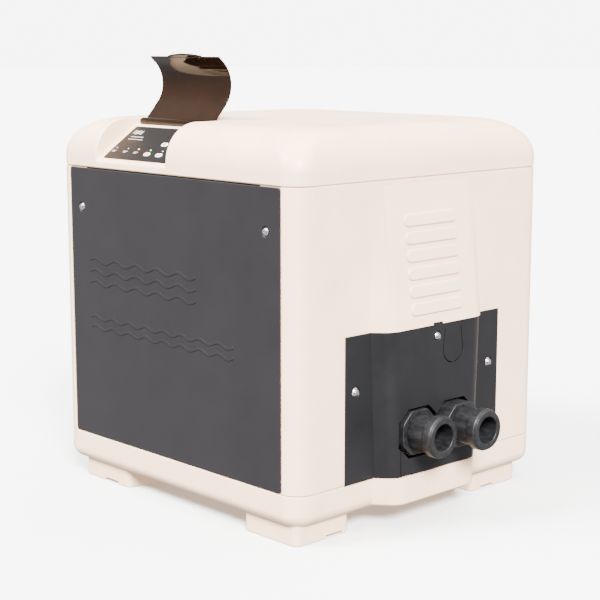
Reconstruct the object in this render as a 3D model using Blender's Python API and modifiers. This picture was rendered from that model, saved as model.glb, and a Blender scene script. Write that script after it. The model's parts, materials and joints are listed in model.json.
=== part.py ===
"""Compact gas-fired heater for a pool or spa.

A moulded base and lid, two moulded side panels and two sheet-metal panels make the cabinet. The
right side carries the two water unions behind a screwed service cover. The keypad sits in a sloped
recess of the lid, under a tinted cover that swings on a pin. Inside are the fan-fed burner, the
finned coil in its chamber, the water manifold with its bypass, the gas train and the controls.

Cabinet coordinates: X from the cabinet's middle to the right, Y from the front panel to the back,
Z up from the floor. The frame empty moves them so that the origin is the bottom centre of the
whole heater's bounding box.
"""

import math

import bmesh
import bpy
from mathutils import Matrix, Vector

# ---- driving dimensions, in metres ----
WIDTH = 0.535
DEPTH = 0.515
CORNER_R = 0.032
FOOT_HEIGHT = 0.028
BASE_TOP = 0.0737
SEAM_Z = 0.490
LID_HEIGHT = 0.073
LID_EDGE_R = 0.056
LID_CORNER_GROWTH = 0.55
LID_WALL = 0.004
PANEL_WALL = 0.003
SHEET = 0.0022
GAP = 0.0003
HALF = WIDTH / 2

# base moulding: wall, floor level, edges, and each foot as left, right, near, far
BASE_WALL = 0.005
BASE_FLOOR_Z = 0.048
BASE_EDGE_R = 0.018
FOOT_TOP = 0.047
FOOT_CORNER_R = 0.010
FEET = {"front_left": (-0.233, -0.120, 0.013, 0.116), "front_right": (0.145, 0.2535, 0.013, 0.116),
        "rear_left": (-0.233, -0.120, 0.380, 0.485), "rear_right": (0.145, 0.2535, 0.380, 0.485)}
CLIP_SLOTS = {"front_left": ((-0.181, 0.010), (-0.148, 0.038)),
              "front_right": ((0.228, 0.069), (0.258, 0.101)),
              "rear_left": ((-0.181, 0.460), (-0.148, 0.488)),
              "rear_right": ((0.228, 0.400), (0.258, 0.431))}
CLIP_SLOT_HIGH = 0.0055

# the frame's offset: half way between the cabinet's extremes
ORIGIN = Vector((0.0439, 0.27475, 0.0))

# front and back sheet panels
PANEL_HALF = 0.2354
BACK_HALF = 0.2047
PANEL_LOW = 0.0750
PANEL_HIGH = 0.4885
SHEET_CORNER_R = 0.003
PANEL_SCREW_X = 0.2077
PANEL_SCREW_Z = 0.429
BACK_SCREW_X = 0.192
FLANGE_Y = SHEET + GAP
FLANGE_REACH = 0.012
FLANGE_INSET = 0.022
PANEL_FOOT = BASE_TOP + 0.0006
AIR_SLOT = (0.045, 0.004)
AIR_SLOT_X = 0.105
AIR_SLOT_Z = 0.300
AIR_SLOT_PITCH = 0.022

# screws: shank, washer and hex radii and heights; the pilot hole; and the dished seat in the sheet
SHANK_R = 0.0021
SHANK_LENGTH = 0.014
WASHER_R = 0.0048
WASHER_HIGH = 0.0010
HEX_R = 0.0037
HEX_HIGH = 0.0032
PILOT_R = 0.0025
SEAT_HOLE_R = 0.0026
SEAT_R = 0.0056
SEAT_MOUTH_R = 0.0080
DIMPLE_DEPTH = 0.0017

# service side
SERVICE_Y = 0.2525
COVER_HALF = 0.162
COVER_TOP = 0.2827
COVER_LOW = 0.0745
COVER_WALL = 0.002
COVER_FACE = HALF + GAP + COVER_WALL
COVER_SCREW_HALF = 0.142
COVER_SCREW_Z = 0.204
TOP_SCREW_Z = 0.2665
TAB_HALF = 0.010
TAB_RISE = 0.0032
WINDOW_HALF = 0.152
WINDOW_TOP = 0.2733
SCREW_PAD_HALF = (0.014, 0.019)
KNOCK_OUT_SPOT = (0.2850, 0.2450)
KNOCK_OUT_R = 0.0210
SLIT_WIDTH = 0.0012
FRONT_SLIT = (0.1749, 0.120)
PERFORATION_Y = 0.3250
PERFORATIONS = ((0.0790, 0.0900), (0.0930, 0.1040), (0.1070, 0.1200))
BREAK_OUT_NOTCH = (0.1770, 0.1970, 0.0772)

# the bulge: height, how far it stands out, half-width of its face and of its foot
BULGE_TOP = (0.4820, 0.0004, 0.0970, 0.0990)
BULGE_MIDDLE = (0.2833, 0.0255, 0.0935, 0.1175)
COVER_MIDDLE = (0.2827, 0.0245, 0.0930, 0.1165)
BULGE_LOW = (0.0737, 0.0285, 0.0815, 0.1060)
BULGE_END = (0.0330, 0.0285, 0.0800, 0.1030)
BULGE_R = 0.015

# louvre embossings
LOUVRES = 6
LOUVRE_PITCH = 0.0247
LOUVRE_FIRST_Z = 0.4325
LOUVRE_HALF = 0.0555
LOUVRE_R = 0.009
LOUVRE_RISE = 0.0026

# water unions
UNION_Z = 0.1345
UNION_Y = {"inlet": 0.2120, "outlet": 0.2880}
UNION_FACE = {"inlet": 0.2965, "outlet": 0.3125}
BORE_R = 0.0194
TAIL_R = 0.0220
NUT_R = 0.0268
NUT_LENGTH = 0.0285
COLLAR_R = 0.0300
COLLAR_LENGTH = 0.0135
LIP_R = 0.0278
LIP_LENGTH = 0.0028
OCTAGON_HALF = 0.0335
NUT_LOBES = 8
NUT_LOBE_DEPTH = 0.0010
SEAT_BORE_R = 0.0248
SEAT_BORE_DEEP = 0.0060
TAIL_FLANGE_R = 0.0245
O_RING = (0.0220, 0.0012)
CUTOUT = (0.0400, 0.0355)
CUTOUT_FLAT = (0.0210, 0.0180)

# keypad recess and its cover
RECESS_LEFT = -0.1685
RECESS_RIGHT = -0.0030
FLOOR_Z = SEAM_Z + 0.0104
FLOOR_SLOPE = math.radians(34.2)
SHELF_Z = 0.5520
RECESS_BACK = 0.1030
HINGE = Vector((0.0, 0.0870, 0.5575))
BARREL_R = 0.0050
PIN_R = 0.0020
COVER_OPEN = math.radians(131.0)
COVER_ENDS = (-0.1655, -0.0055)
COVER_THICK = 0.0022
COVER_BEND_R = 0.045
TIP_Z = 0.5072
LIP_HALF = 0.040
LIP_SAG_LOW = 0.0050
LIP_SAG_HIGH = 0.0120
OVERLAY = (-0.1590, -0.0120, 0.0085, 0.0860)
LED_ROW = 0.0330
LED_X = (-0.1498, -0.1225, -0.0969, -0.0686, -0.0410)
BUTTONS = {
    "pool_button": (-0.0682, 0.0236),
    "spa_button": (-0.0403, 0.0236),
    "raise_button": (-0.0512, 0.0478),
    "lower_button": (-0.0260, 0.0478),
}
BUTTON_HALF = (0.0066, 0.0040)
DISPLAY = (-0.0620, -0.0220, 0.0620, 0.0790)
KEYPAD_WINDOW = (-0.1545, -0.0165, 0.0150, 0.0820)
FILM_LOW, FILM_HIGH = 0.0003, 0.0013
LENS_LOW, LENS_HIGH = -0.0014, 0.0011
LED_R, LED_HIGH = 0.0014, 0.0017
KEY_LOW, KEY_HIGH = -0.0022, 0.0023
KEY_SKIRT = 0.0012
BOARD = (-0.150, -0.021, 0.018, 0.078)
BOARD_LOW, BOARD_HIGH = -0.0085, -0.0069

# works
DRUM = Vector((-0.015, 0.275, 0.0))
DRUM_R = 0.158
DRUM_LOW = 0.050
DRUM_HIGH = 0.345
COIL_R = 0.112
TUBE_R = 0.010
COIL_LOW = 0.118
COIL_PITCH = 0.030
COIL_TURNS = 5.5
INSULATION_R = 0.135
RIM_WIDTH = 0.008
BURNER_R = 0.0465
BURNER_LOW = 0.2000
IGNITER_X = 0.080
FLUE_Z = 0.112
FLUE_R = 0.038
VENT_R = 0.051
VENT_Z = FLUE_Z + 0.004
VENT_LENGTH = 0.0360
GUARD_BARS = 5
GUARD_PITCH = 0.015
MANIFOLD = ((0.190, 0.156, 0.095), (0.272, 0.350, 0.175))
CHAMBER_X = (0.202, 0.240)
CHAMBER_Z = (0.112, 0.157)
CHAMBER_NEAR, CHAMBER_FAR = 0.160, 0.330
SPOOL_X = 0.221
DRAIN_Y = 0.195
SWITCH_Y, SENSOR_Y = 0.212, 0.288
BYPASS_R = 0.0110
SPRING_TURNS = 6
SPRING_WIRE = 0.0007
SPRING_R = 0.0080
FAN = Vector((-0.015, 0.228, 0.432))
FAN_WIDTH = 0.054
SCROLL_R = 0.0700
SCROLL_WALL = 0.0025
WHEEL_R = 0.046
WHEEL_HUB_R = 0.0130
BLADES = 12
MOTOR_R = 0.0330
MOTOR_LENGTH = 0.0640
GAS_Y = 0.158
GAS_X = -0.190
GAS_OUT_Z = 0.150
VALVE = ((0.016, 0.130, 0.405), (0.068, 0.186, 0.455))
GAS_PIPE_R = 0.0080
GAS_PIPE_Z = 0.430
GAS_END_Y = 0.5450
KNOB_R = 0.014
PARTITION = (0.247, 0.253)

# finishes: colour as linear RGB, roughness, metallic
FINISHES = {
    "cream_resin": ((0.88, 0.80, 0.71), 0.55, 0.0),
    "charcoal_sheet": ((0.105, 0.095, 0.10), 0.45, 0.1),
    "charcoal_resin": ((0.060, 0.055, 0.060), 0.50, 0.0),
    "filled_nylon": ((0.030, 0.030, 0.032), 0.60, 0.0),
    "zinc_steel": ((0.62, 0.62, 0.64), 0.35, 1.0),
    "smoked_acrylic": ((0.075, 0.045, 0.030), 0.10, 0.0),
    "keypad_film": ((0.050, 0.045, 0.046), 0.40, 0.0),
    "white_key": ((0.85, 0.85, 0.84), 0.40, 0.0),
    "clear_lens": ((0.70, 0.72, 0.70), 0.10, 0.0),
    "copper": ((0.72, 0.36, 0.22), 0.35, 1.0),
    "stainless": ((0.60, 0.59, 0.57), 0.30, 1.0),
    "aluminised_steel": ((0.50, 0.51, 0.52), 0.45, 1.0),
    "ceramic_fibre": ((0.80, 0.78, 0.72), 0.95, 0.0),
    "cast_aluminium": ((0.55, 0.56, 0.57), 0.50, 1.0),
    "brass": ((0.65, 0.48, 0.22), 0.35, 1.0),
    "rubber": ((0.02, 0.02, 0.02), 0.80, 0.0),
    "circuit_board": ((0.02, 0.16, 0.06), 0.45, 0.0),
    "red_knob": ((0.45, 0.02, 0.02), 0.45, 0.0),
}

for old in list(bpy.data.objects):
    bpy.data.objects.remove(old, do_unlink=True)

parts = bpy.data.collections.new("pool_heater")
tools = bpy.data.collections.new("pool_heater_cutters")
bpy.context.scene.collection.children.link(parts)
bpy.context.scene.collection.children.link(tools)


# ---- making and placing ----
def empty(name, at, parent=None, tilt=0.0):
    """An empty that carries pieces; tilt turns it about X."""
    obj = bpy.data.objects.new(name, None)
    parts.objects.link(obj)
    obj.parent = parent
    obj.location = at
    obj.rotation_euler = (tilt, 0.0, 0.0)
    return obj


frame = empty("cabinet_frame", -ORIGIN)


def finish(name):
    """The shared Principled material of one finish."""
    if name in bpy.data.materials:
        return bpy.data.materials[name]
    colour, roughness, metallic = FINISHES[name]
    made = bpy.data.materials.new(name)
    made.use_nodes = True
    shader = made.node_tree.nodes["Principled BSDF"]
    shader.inputs["Base Color"].default_value = (*colour, 1.0)
    shader.inputs["Roughness"].default_value = roughness
    shader.inputs["Metallic"].default_value = metallic
    return made


def as_mesh(name, bm):
    """The bmesh as mesh data with outward faces, smooth where it is round."""
    bmesh.ops.recalc_face_normals(bm, faces=bm.faces)
    data = bpy.data.meshes.new(name)
    bm.to_mesh(data)
    bm.free()
    data.shade_smooth()
    data.set_sharp_from_angle(angle=math.radians(35))
    return data


def piece(name, bm, look, parent=frame, at=(0, 0, 0), tilt=0.0):
    """A part of the heater; the mesh is given in its parent's coordinates, about the point `at`."""
    own = finish(look).copy()
    own.name = name + "_finish"
    bmesh.ops.translate(bm, vec=-Vector(at), verts=bm.verts)
    obj = bpy.data.objects.new(name, as_mesh(name, bm))
    obj.data.materials.append(own)
    parts.objects.link(obj)
    obj.parent = parent
    obj.location = at
    obj.rotation_euler = (tilt, 0.0, 0.0)
    return obj


def tool(name, bm, parent=frame, at=(0, 0, 0), turn=(0, 0, 0)):
    """A shape that is only added to or cut from a part."""
    obj = bpy.data.objects.new(name, as_mesh(name, bm))
    tools.objects.link(obj)
    obj.parent = parent
    obj.location = at
    obj.rotation_euler = turn
    obj.hide_render = True
    obj.display_type = "WIRE"
    return obj


def boolean(obj, operation, shapes):
    for shape in shapes:
        step = obj.modifiers.new(shape.name, "BOOLEAN")
        step.operation = operation
        step.solver = "EXACT"
        step.object = shape


def cut(obj, *shapes):
    boolean(obj, "DIFFERENCE", shapes)


def join(obj, *shapes):
    boolean(obj, "UNION", shapes)


# ---- shapes ----
def box(low, high, corner=0.0, segments=3, along="Z"):
    """A block; corner rounds its four edges that run along the named axis."""
    low, high = Vector(low), Vector(high)
    bm = bmesh.new()
    bmesh.ops.create_cube(bm, size=1.0)
    bmesh.ops.scale(bm, vec=high - low, verts=bm.verts)
    bmesh.ops.translate(bm, vec=(low + high) / 2, verts=bm.verts)
    if corner:
        axis = "XYZ".index(along)
        edges = [e for e in bm.edges if abs((e.verts[0].co - e.verts[1].co).normalized()[axis]) > 0.99]
        round_over(bm, edges, corner, segments)
    return bm


def round_over(bm, edges, radius, segments):
    bmesh.ops.bevel(bm, geom=edges, offset=radius, segments=segments, affect="EDGES", profile=0.5)


AXIS_VECTOR = {"X": Vector((1, 0, 0)), "Y": Vector((0, 1, 0)), "Z": Vector((0, 0, 1))}


def prism(outline, low, high, axis="Z"):
    """A closed outline, in the two other axes' coordinates, extruded along an axis."""
    spots = {"X": lambda u, v: (low, u, v), "Y": lambda u, v: (u, low, v), "Z": lambda u, v: (u, v, low)}
    bm = bmesh.new()
    verts = [bm.verts.new(spots[axis](u, v)) for u, v in outline]
    for start, end in zip(verts, verts[1:] + verts[:1]):
        bm.edges.new((start, end))
    bmesh.ops.edgeloop_fill(bm, edges=bm.edges[:])
    raised = bmesh.ops.extrude_face_region(bm, geom=bm.faces[:])
    moved = [item for item in raised["geom"] if isinstance(item, bmesh.types.BMVert)]
    bmesh.ops.translate(bm, vec=AXIS_VECTOR[axis] * (high - low), verts=moved)
    return bm


def turned(profile, centre=(0, 0, 0), axis="Z", steps=28):
    """A profile of (radius, height) points spun about an axis through the centre."""
    bm = bmesh.new()
    verts = [bm.verts.new((radius, 0.0, height)) for radius, height in profile]
    ends_meet = profile[0][0] > 0 or profile[-1][0] > 0
    pairs = list(zip(verts, verts[1:])) + ([(verts[-1], verts[0])] if ends_meet else [])
    edges = [bm.edges.new(pair) for pair in pairs]
    bmesh.ops.spin(bm, geom=verts + edges, cent=(0, 0, 0), axis=(0, 0, 1), angle=math.tau, steps=steps,
                   use_merge=True)
    bmesh.ops.remove_doubles(bm, verts=bm.verts, dist=1e-6)
    turns = {"X": Matrix.Rotation(math.pi / 2, 4, "Y"), "Y": Matrix.Rotation(-math.pi / 2, 4, "X"),
             "Z": Matrix.Identity(4)}
    bmesh.ops.transform(bm, matrix=Matrix.Translation(centre) @ turns[axis], verts=bm.verts)
    return bm


def rod(radius, low, high, centre=(0, 0, 0), axis="Z", steps=28):
    """A plain round bar from low to high along its axis."""
    return turned([(0, low), (radius, low), (radius, high), (0, high)], centre, axis, steps)


def ring(inner, outer, low, high, centre=(0, 0, 0), axis="Z", steps=28):
    return turned([(inner, low), (outer, low), (outer, high), (inner, high)], centre, axis, steps)


def arc(centre, radius, start, end, steps):
    """Points along a circular arc; angles in degrees, both ends included."""
    angles = [math.radians(start + (end - start) * i / steps) for i in range(steps + 1)]
    return [(centre[0] + radius * math.cos(a), centre[1] + radius * math.sin(a)) for a in angles]


def rounded_rectangle(left, right, near, far, radius, steps=5):
    corners = (((right - radius, near + radius), -90), ((right - radius, far - radius), 0),
               ((left + radius, far - radius), 90), ((left + radius, near + radius), 180))
    return [point for centre, start in corners for point in arc(centre, radius, start, start + 90, steps)]


def stadium(half_length, radius, steps=6):
    """An outline with round ends, lying along its first axis."""
    straight = half_length - radius
    return arc((straight, 0), radius, -90, 90, steps) + arc((-straight, 0), radius, 90, 270, steps)


def polygon(radius, sides, turn=0.0):
    angles = [math.tau * (i + turn) / sides for i in range(sides)]
    return [(radius * math.cos(a), radius * math.sin(a)) for a in angles]


def shifted(outline, by):
    return [(u + by[0], v + by[1]) for u, v in outline]


def loft(rings):
    """A closed skin through rings of equally many points, bottom to top, with flat ends."""
    bm = bmesh.new()
    rows = []
    for points in rings:
        row = [bm.verts.new(point) for point in points]
        rows.append([bm.edges.new(pair) for pair in zip(row, row[1:] + row[:1])])
    for below, above in zip(rows, rows[1:]):
        bmesh.ops.bridge_loops(bm, edges=below + above)
    for end in (rows[0], rows[-1]):
        bmesh.ops.edgeloop_fill(bm, edges=end)
    return bm


def wall_strip(path, low, high):
    """An upright sheet along a path seen from above; Solidify gives it its thickness."""
    bm = bmesh.new()
    verts = [bm.verts.new((x, y, low)) for x, y in path]
    edges = [bm.edges.new(pair) for pair in zip(verts, verts[1:])]
    raised = bmesh.ops.extrude_edge_only(bm, edges=edges)
    moved = [item for item in raised["geom"] if isinstance(item, bmesh.types.BMVert)]
    bmesh.ops.translate(bm, vec=(0, 0, high - low), verts=moved)
    return bm


def pipe(name, route, radius, look, bend=0.0, sides=2):
    """A round tube along a route, with its corners rounded to the bend radius."""
    points = [Vector(route[0])]
    for before, corner, after in zip(route, route[1:], route[2:]):
        before, corner, after = Vector(before), Vector(corner), Vector(after)
        if bend:
            into, out = (before - corner).normalized() * bend, (after - corner).normalized() * bend
            centre = corner + into + out
            points += [centre - out * math.cos(t) - into * math.sin(t) for t in
                       (math.radians(15 * i) for i in range(7))]
        else:
            points.append(corner)
    points.append(Vector(route[-1]))
    curve = bpy.data.curves.new(name, "CURVE")
    curve.dimensions = "3D"
    curve.bevel_depth = radius
    curve.bevel_resolution = sides
    curve.use_fill_caps = True
    spline = curve.splines.new("POLY")
    spline.points.add(len(points) - 1)
    for spot, point in zip(spline.points, points):
        spot.co = (*point, 1.0)
    obj = bpy.data.objects.new(name, curve)
    own = finish(look).copy()
    own.name = name + "_finish"
    curve.materials.append(own)
    parts.objects.link(obj)
    obj.parent = frame
    return obj


# ---- base: one hollow moulding with four feet and tie-down slots ----
def section_between(height, upper, lower):
    """The bulge's section at a height, worked out between two named ones."""
    share = (upper[0] - height) / (upper[0] - lower[0])
    return [a + (b - a) * share for a, b in zip(upper, lower)]


def soft_corner(before, corner, after, reach):
    """Points that round a corner, starting and ending `reach` away from it."""
    before, corner, after = Vector(before), Vector(corner), Vector(after)
    start = corner + (before - corner).normalized() * min(reach, 0.9 * (before - corner).length)
    end = corner + (after - corner).normalized() * min(reach, 0.4 * (after - corner).length)
    shares = [i / 5 for i in range(6)]
    return [tuple(start * (1 - t) ** 2 + corner * 2 * t * (1 - t) + end * t ** 2) for t in shares]


def bulge_ring(section, inset, root):
    """One level of the bulge, seen from above; root is how far it reaches into the cabinet wall."""
    height, out, face, foot = section
    slope = min((foot - face) / max(out, 0.001), 1.2)
    face_x, root_x = HALF + out - inset, HALF - root
    face_half, root_half = face - inset * 0.6, foot - inset + slope * root
    near_root, near = (root_x, SERVICE_Y - root_half), (face_x, SERVICE_Y - face_half)
    far, far_root = (face_x, SERVICE_Y + face_half), (root_x, SERVICE_Y + root_half)
    reach = BULGE_R - inset
    outline = ([near_root] + soft_corner(near_root, near, far, reach)
               + list(reversed(soft_corner(far_root, far, near, reach))) + [far_root])
    return [(x, y, height) for x, y in outline]


def bulge(upper, lower, inset=0.0, root=0.006):
    """The tapered bulge between two of its sections."""
    bm = loft([bulge_ring(lower, inset, root), bulge_ring(upper, inset, root)])
    bmesh.ops.triangulate(bm, faces=[face for face in bm.faces if len(face.verts) == 4])
    return bm


def at_height(section, height):
    """The same section moved to another height."""
    return (height, *section[1:])


def build_base():
    body = box((-HALF, 0, FOOT_HEIGHT), (HALF, DEPTH, BASE_TOP), CORNER_R, 5)
    bottom = [e for e in body.edges if all(v.co.z < FOOT_HEIGHT + 1e-5 for v in e.verts)]
    round_over(body, bottom, BASE_EDGE_R, 3)
    base = piece("base", body, "cream_resin")
    join(base, tool("base_bulge", bulge(BULGE_LOW, BULGE_END, root=0.03)))
    hollow = rounded_rectangle(-HALF + BASE_WALL, HALF - BASE_WALL, BASE_WALL, DEPTH - BASE_WALL,
                               CORNER_R - BASE_WALL)
    cut(base, tool("base_hollow", prism(hollow, BASE_FLOOR_Z, BASE_TOP + 0.03)))
    for place, (left, right, near, far) in FEET.items():
        foot = box((left, near, 0.0), (right, far, FOOT_TOP), FOOT_CORNER_R, 3)
        join(base, tool("foot_" + place, foot))
        (x0, y0), (x1, y1) = CLIP_SLOTS[place]
        cut(base, tool("tie_down_" + place, box((x0, y0, -0.01), (x1, y1, CLIP_SLOT_HIGH))))


build_base()


# ---- side panels: moulded shells that wrap the corners ----
def side_path(side):
    """The outer line of a side panel from the front flange to the back one, seen from above."""
    inner = HALF - CORNER_R
    front = arc((inner, CORNER_R), CORNER_R, -86, 0, 6)
    back = arc((inner, DEPTH - CORNER_R), CORNER_R, 0, 90, 6)
    path = front + back + [(BACK_HALF + 0.0006, DEPTH)]
    return [(side * x, y) for x, y in path]


def side_panel(name, side):
    panel = piece(name, wall_strip(side_path(side), PANEL_FOOT, SEAM_Z - GAP), "cream_resin")
    shell = panel.modifiers.new("wall", "SOLIDIFY")
    shell.thickness = PANEL_WALL
    shell.offset = -1.0
    shell.use_even_offset = True
    for end, near, screw_x in (("front", FLANGE_Y, PANEL_SCREW_X),
                               ("back", DEPTH - FLANGE_Y - PANEL_WALL, BACK_SCREW_X)):
        x0, x1 = sorted((side * (screw_x - FLANGE_REACH), side * (HALF - FLANGE_INSET)))
        flange = box((x0, near, PANEL_FOOT), (x1, near + PANEL_WALL, SEAM_Z - GAP))
        join(panel, tool(f"{name}_{end}_flange", flange))
        hole = rod(PILOT_R, near - 0.004, near + 0.008, (side * screw_x, 0, PANEL_SCREW_Z), "Y", 12)
        cut(panel, tool(f"{name}_{end}_screw_hole", hole))
    return panel


def louvre(name, side, height, lean):
    """One pill-shaped embossing, leaning with the face that it stands on."""
    out = section_between(height, BULGE_TOP, BULGE_MIDDLE)[1] if lean else 0.0
    bm = prism(stadium(LOUVRE_HALF, LOUVRE_R), -0.0012, LOUVRE_RISE, "X")
    if side < 0:
        bmesh.ops.rotate(bm, verts=bm.verts, cent=(0, 0, 0), matrix=Matrix.Rotation(math.pi, 3, "Z"))
    return tool(name, bm, at=(side * (HALF + out), SERVICE_Y, height), turn=(0, -lean, 0))


def build_side_panels():
    right = side_panel("right_side_panel", 1)
    lean = math.atan2(BULGE_MIDDLE[1] - BULGE_TOP[1], BULGE_TOP[0] - BULGE_MIDDLE[0])
    join(right, tool("bulge_skin", bulge(BULGE_TOP, BULGE_MIDDLE)))
    inner_top = section_between(BULGE_TOP[0] - 0.030, BULGE_TOP, BULGE_MIDDLE)
    inner_low = section_between(BULGE_MIDDLE[0] - 0.008, BULGE_TOP, BULGE_MIDDLE)
    cut(right, tool("bulge_hollow", bulge(inner_top, inner_low, inset=PANEL_WALL, root=0.008)))
    inside, outside = HALF - 0.008, HALF + 0.05
    window = box((inside, SERVICE_Y - WINDOW_HALF, 0.05), (outside, SERVICE_Y + WINDOW_HALF, WINDOW_TOP))
    cut(right, tool("service_window", window))
    root_half = COVER_MIDDLE[3]
    low_edge = box((inside, SERVICE_Y - root_half, 0.26), (outside, SERVICE_Y + root_half, BULGE_MIDDLE[0]))
    cut(right, tool("bulge_low_edge", low_edge))
    notch_half = TAB_HALF + 0.0005
    notch = box((HALF, SERVICE_Y - notch_half, 0.27),
                (outside, SERVICE_Y + notch_half, COVER_TOP + TAB_RISE + 0.0005))
    cut(right, tool("tab_notch", notch))
    pad_y, pad_z = SCREW_PAD_HALF
    for side in (-1, 1):
        spot = (HALF, SERVICE_Y + side * COVER_SCREW_HALF, COVER_SCREW_Z)
        pad = box((HALF - PANEL_WALL - 0.0005, spot[1] - pad_y, COVER_SCREW_Z - pad_z),
                  (HALF - GAP, spot[1] + pad_y, COVER_SCREW_Z + pad_z))
        join(right, tool(f"screw_pad_{side}", pad))
        cut(right, tool(f"screw_pad_hole_{side}", rod(PILOT_R, -0.01, 0.01, spot, "X", 12)))
    left = side_panel("left_side_panel", -1)
    gas_way = rod(0.0200, DEPTH - 0.03, DEPTH - SHEET - 0.0001, (GAS_X, 0, GAS_OUT_Z), "Y", 24)
    cut(left, tool("gas_way", gas_way))
    for i in range(LOUVRES):
        height = LOUVRE_FIRST_Z - i * LOUVRE_PITCH
        join(right, louvre(f"right_louvre_{i}", 1, height, lean))
        join(left, louvre(f"left_louvre_{i}", -1, height, 0.0))


build_side_panels()


# ---- screws: hex heads with a washer face, zinc plated ----
def screw_bits(base_x, axis_sign, axis, spot):
    """A hex washer-head screw; its washer seats at base_x and its head stands out by axis_sign."""
    crown = WASHER_HIGH + 0.0002
    head = turned([(0, -SHANK_LENGTH), (SHANK_R, -SHANK_LENGTH), (SHANK_R, 0), (WASHER_R, 0),
                   (WASHER_R, WASHER_HIGH), (HEX_R - 0.0001, crown), (0, crown)], steps=16)
    hexagon = prism(polygon(HEX_R, 6), WASHER_HIGH + 0.0001, HEX_HIGH)
    towards = AXIS_VECTOR[axis] * axis_sign
    turn = Vector((0, 0, 1)).rotation_difference(towards).to_matrix().to_4x4()
    place = Matrix.Translation(Vector(spot) + AXIS_VECTOR[axis] * base_x) @ turn
    for bm in (head, hexagon):
        bmesh.ops.transform(bm, matrix=place, verts=bm.verts)
    return head, hexagon


def screw(name, base_x, axis_sign, axis, spot):
    head, hexagon = screw_bits(base_x, axis_sign, axis, spot)
    made = piece(name, head, "zinc_steel")
    join(made, tool(name + "_hex", hexagon))


def dimple(name, face, axis_sign, axis, spot):
    """A dished seat for a screw head, with its clearance hole, cut from a sheet's face."""
    profile = [(0, -0.01), (SEAT_HOLE_R, -0.01), (SEAT_HOLE_R, -DIMPLE_DEPTH), (SEAT_R, -DIMPLE_DEPTH),
               (SEAT_MOUTH_R, 0.0), (SEAT_MOUTH_R, 0.004), (0, 0.004)]
    bm = turned(profile, steps=20)
    turn = Vector((0, 0, 1)).rotation_difference(AXIS_VECTOR[axis] * axis_sign).to_matrix().to_4x4()
    place = Matrix.Translation(Vector(spot) + AXIS_VECTOR[axis] * face) @ turn
    bmesh.ops.transform(bm, matrix=place, verts=bm.verts)
    return tool(name, bm)


# ---- front and back panels: folded steel sheet ----
def build_sheet_panels():
    sheet = box((-PANEL_HALF, 0, PANEL_LOW), (PANEL_HALF, SHEET, PANEL_HIGH), SHEET_CORNER_R, 2, "Y")
    front = piece("front_panel", sheet, "charcoal_sheet")
    for side, word in ((-1, "left"), (1, "right")):
        spot = (side * PANEL_SCREW_X, 0, PANEL_SCREW_Z)
        cut(front, dimple(f"front_dimple_{word}", 0.0, -1, "Y", spot))
        screw(f"front_screw_{word}", DIMPLE_DEPTH - GAP, -1, "Y", spot)
    sheet = box((-BACK_HALF, DEPTH - SHEET, PANEL_LOW), (BACK_HALF, DEPTH, PANEL_HIGH), SHEET_CORNER_R, 2, "Y")
    back = piece("back_panel", sheet, "charcoal_sheet")
    for side, word in ((-1, "left"), (1, "right")):
        spot = (side * BACK_SCREW_X, 0, PANEL_SCREW_Z)
        cut(back, dimple(f"back_dimple_{word}", DEPTH, 1, "Y", spot))
        screw(f"back_screw_{word}", DEPTH - DIMPLE_DEPTH + GAP, 1, "Y", spot)
    cut(back, tool("flue_hole", rod(FLUE_R + 0.004, DEPTH - 0.02, DEPTH + 0.02, (DRUM.x, 0, FLUE_Z), "Y")))
    cut(back, tool("gas_hole", rod(0.017, DEPTH - 0.02, DEPTH + 0.02, (GAS_X, 0, GAS_OUT_Z), "Y", 20)))
    slot = stadium(*AIR_SLOT, 4)
    for column in (-AIR_SLOT_X, AIR_SLOT_X):
        for row in range(6):
            spot = (column, AIR_SLOT_Z + row * AIR_SLOT_PITCH)
            through = prism(shifted(slot, spot), DEPTH - 0.01, DEPTH + 0.01, "Y")
            cut(back, tool(f"air_slot_{column}_{row}", through))


build_sheet_panels()


# ---- lid: moulded shell with a large edge radius and the keypad recess ----
def lid_ring(height, inset, radius):
    outline = rounded_rectangle(-HALF + inset, HALF - inset, inset, DEPTH - inset, radius)
    return [(x, y, height) for x, y in outline]


def lid_body(wall, bottom):
    """The lid's outer body, or its hollow when a wall is given."""
    edge_r = LID_EDGE_R - wall
    spring_line = SEAM_Z + LID_HEIGHT - LID_EDGE_R
    rings = [lid_ring(bottom, wall, CORNER_R - wall)]
    for i in range(8):
        angle = math.radians(90 * i / 7)
        inset = edge_r * (1 - math.cos(angle))
        height = spring_line + edge_r * math.sin(angle)
        rings.append(lid_ring(height, wall + inset, CORNER_R - wall + inset * LID_CORNER_GROWTH))
    return loft(rings)


def recess_outline(drop):
    """Side view of the keypad recess, lowered by drop for the wall beneath it."""
    run = (SHELF_Z - FLOOR_Z) / math.tan(FLOOR_SLOPE)
    top = SEAM_Z + LID_HEIGHT + 0.01
    lift = drop * math.tan(FLOOR_SLOPE)
    return [(-0.02, FLOOR_Z - 0.02 * math.tan(FLOOR_SLOPE) - drop * 1.2), (run + lift, SHELF_Z - drop),
            (RECESS_BACK + drop, SHELF_Z - drop), (RECESS_BACK + drop, top), (-0.02, top)]


def build_lid():
    lid = piece("top_cover", lid_body(0.0, SEAM_Z), "cream_resin")
    hollow = tool("lid_hollow", lid_body(LID_WALL, SEAM_Z - 0.01))
    pocket = prism(recess_outline(LID_WALL), RECESS_LEFT - LID_WALL, RECESS_RIGHT + LID_WALL, "X")
    cut(hollow, tool("recess_walls", pocket))
    cut(lid, hollow)
    cut(lid, tool("recess", prism(recess_outline(0.0), RECESS_LEFT, RECESS_RIGHT, "X")))
    cut(lid, tool("pin_hole", rod(PIN_R + GAP, RECESS_LEFT - 0.003, RECESS_RIGHT + 0.003, HINGE, "X", 16)))
    left, right, near, far = KEYPAD_WINDOW
    window = box((left, near, -0.02), (right, far, 0.02), 0.004, 2)
    cut(lid, tool("keypad_window", window, parent=keypad))


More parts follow.
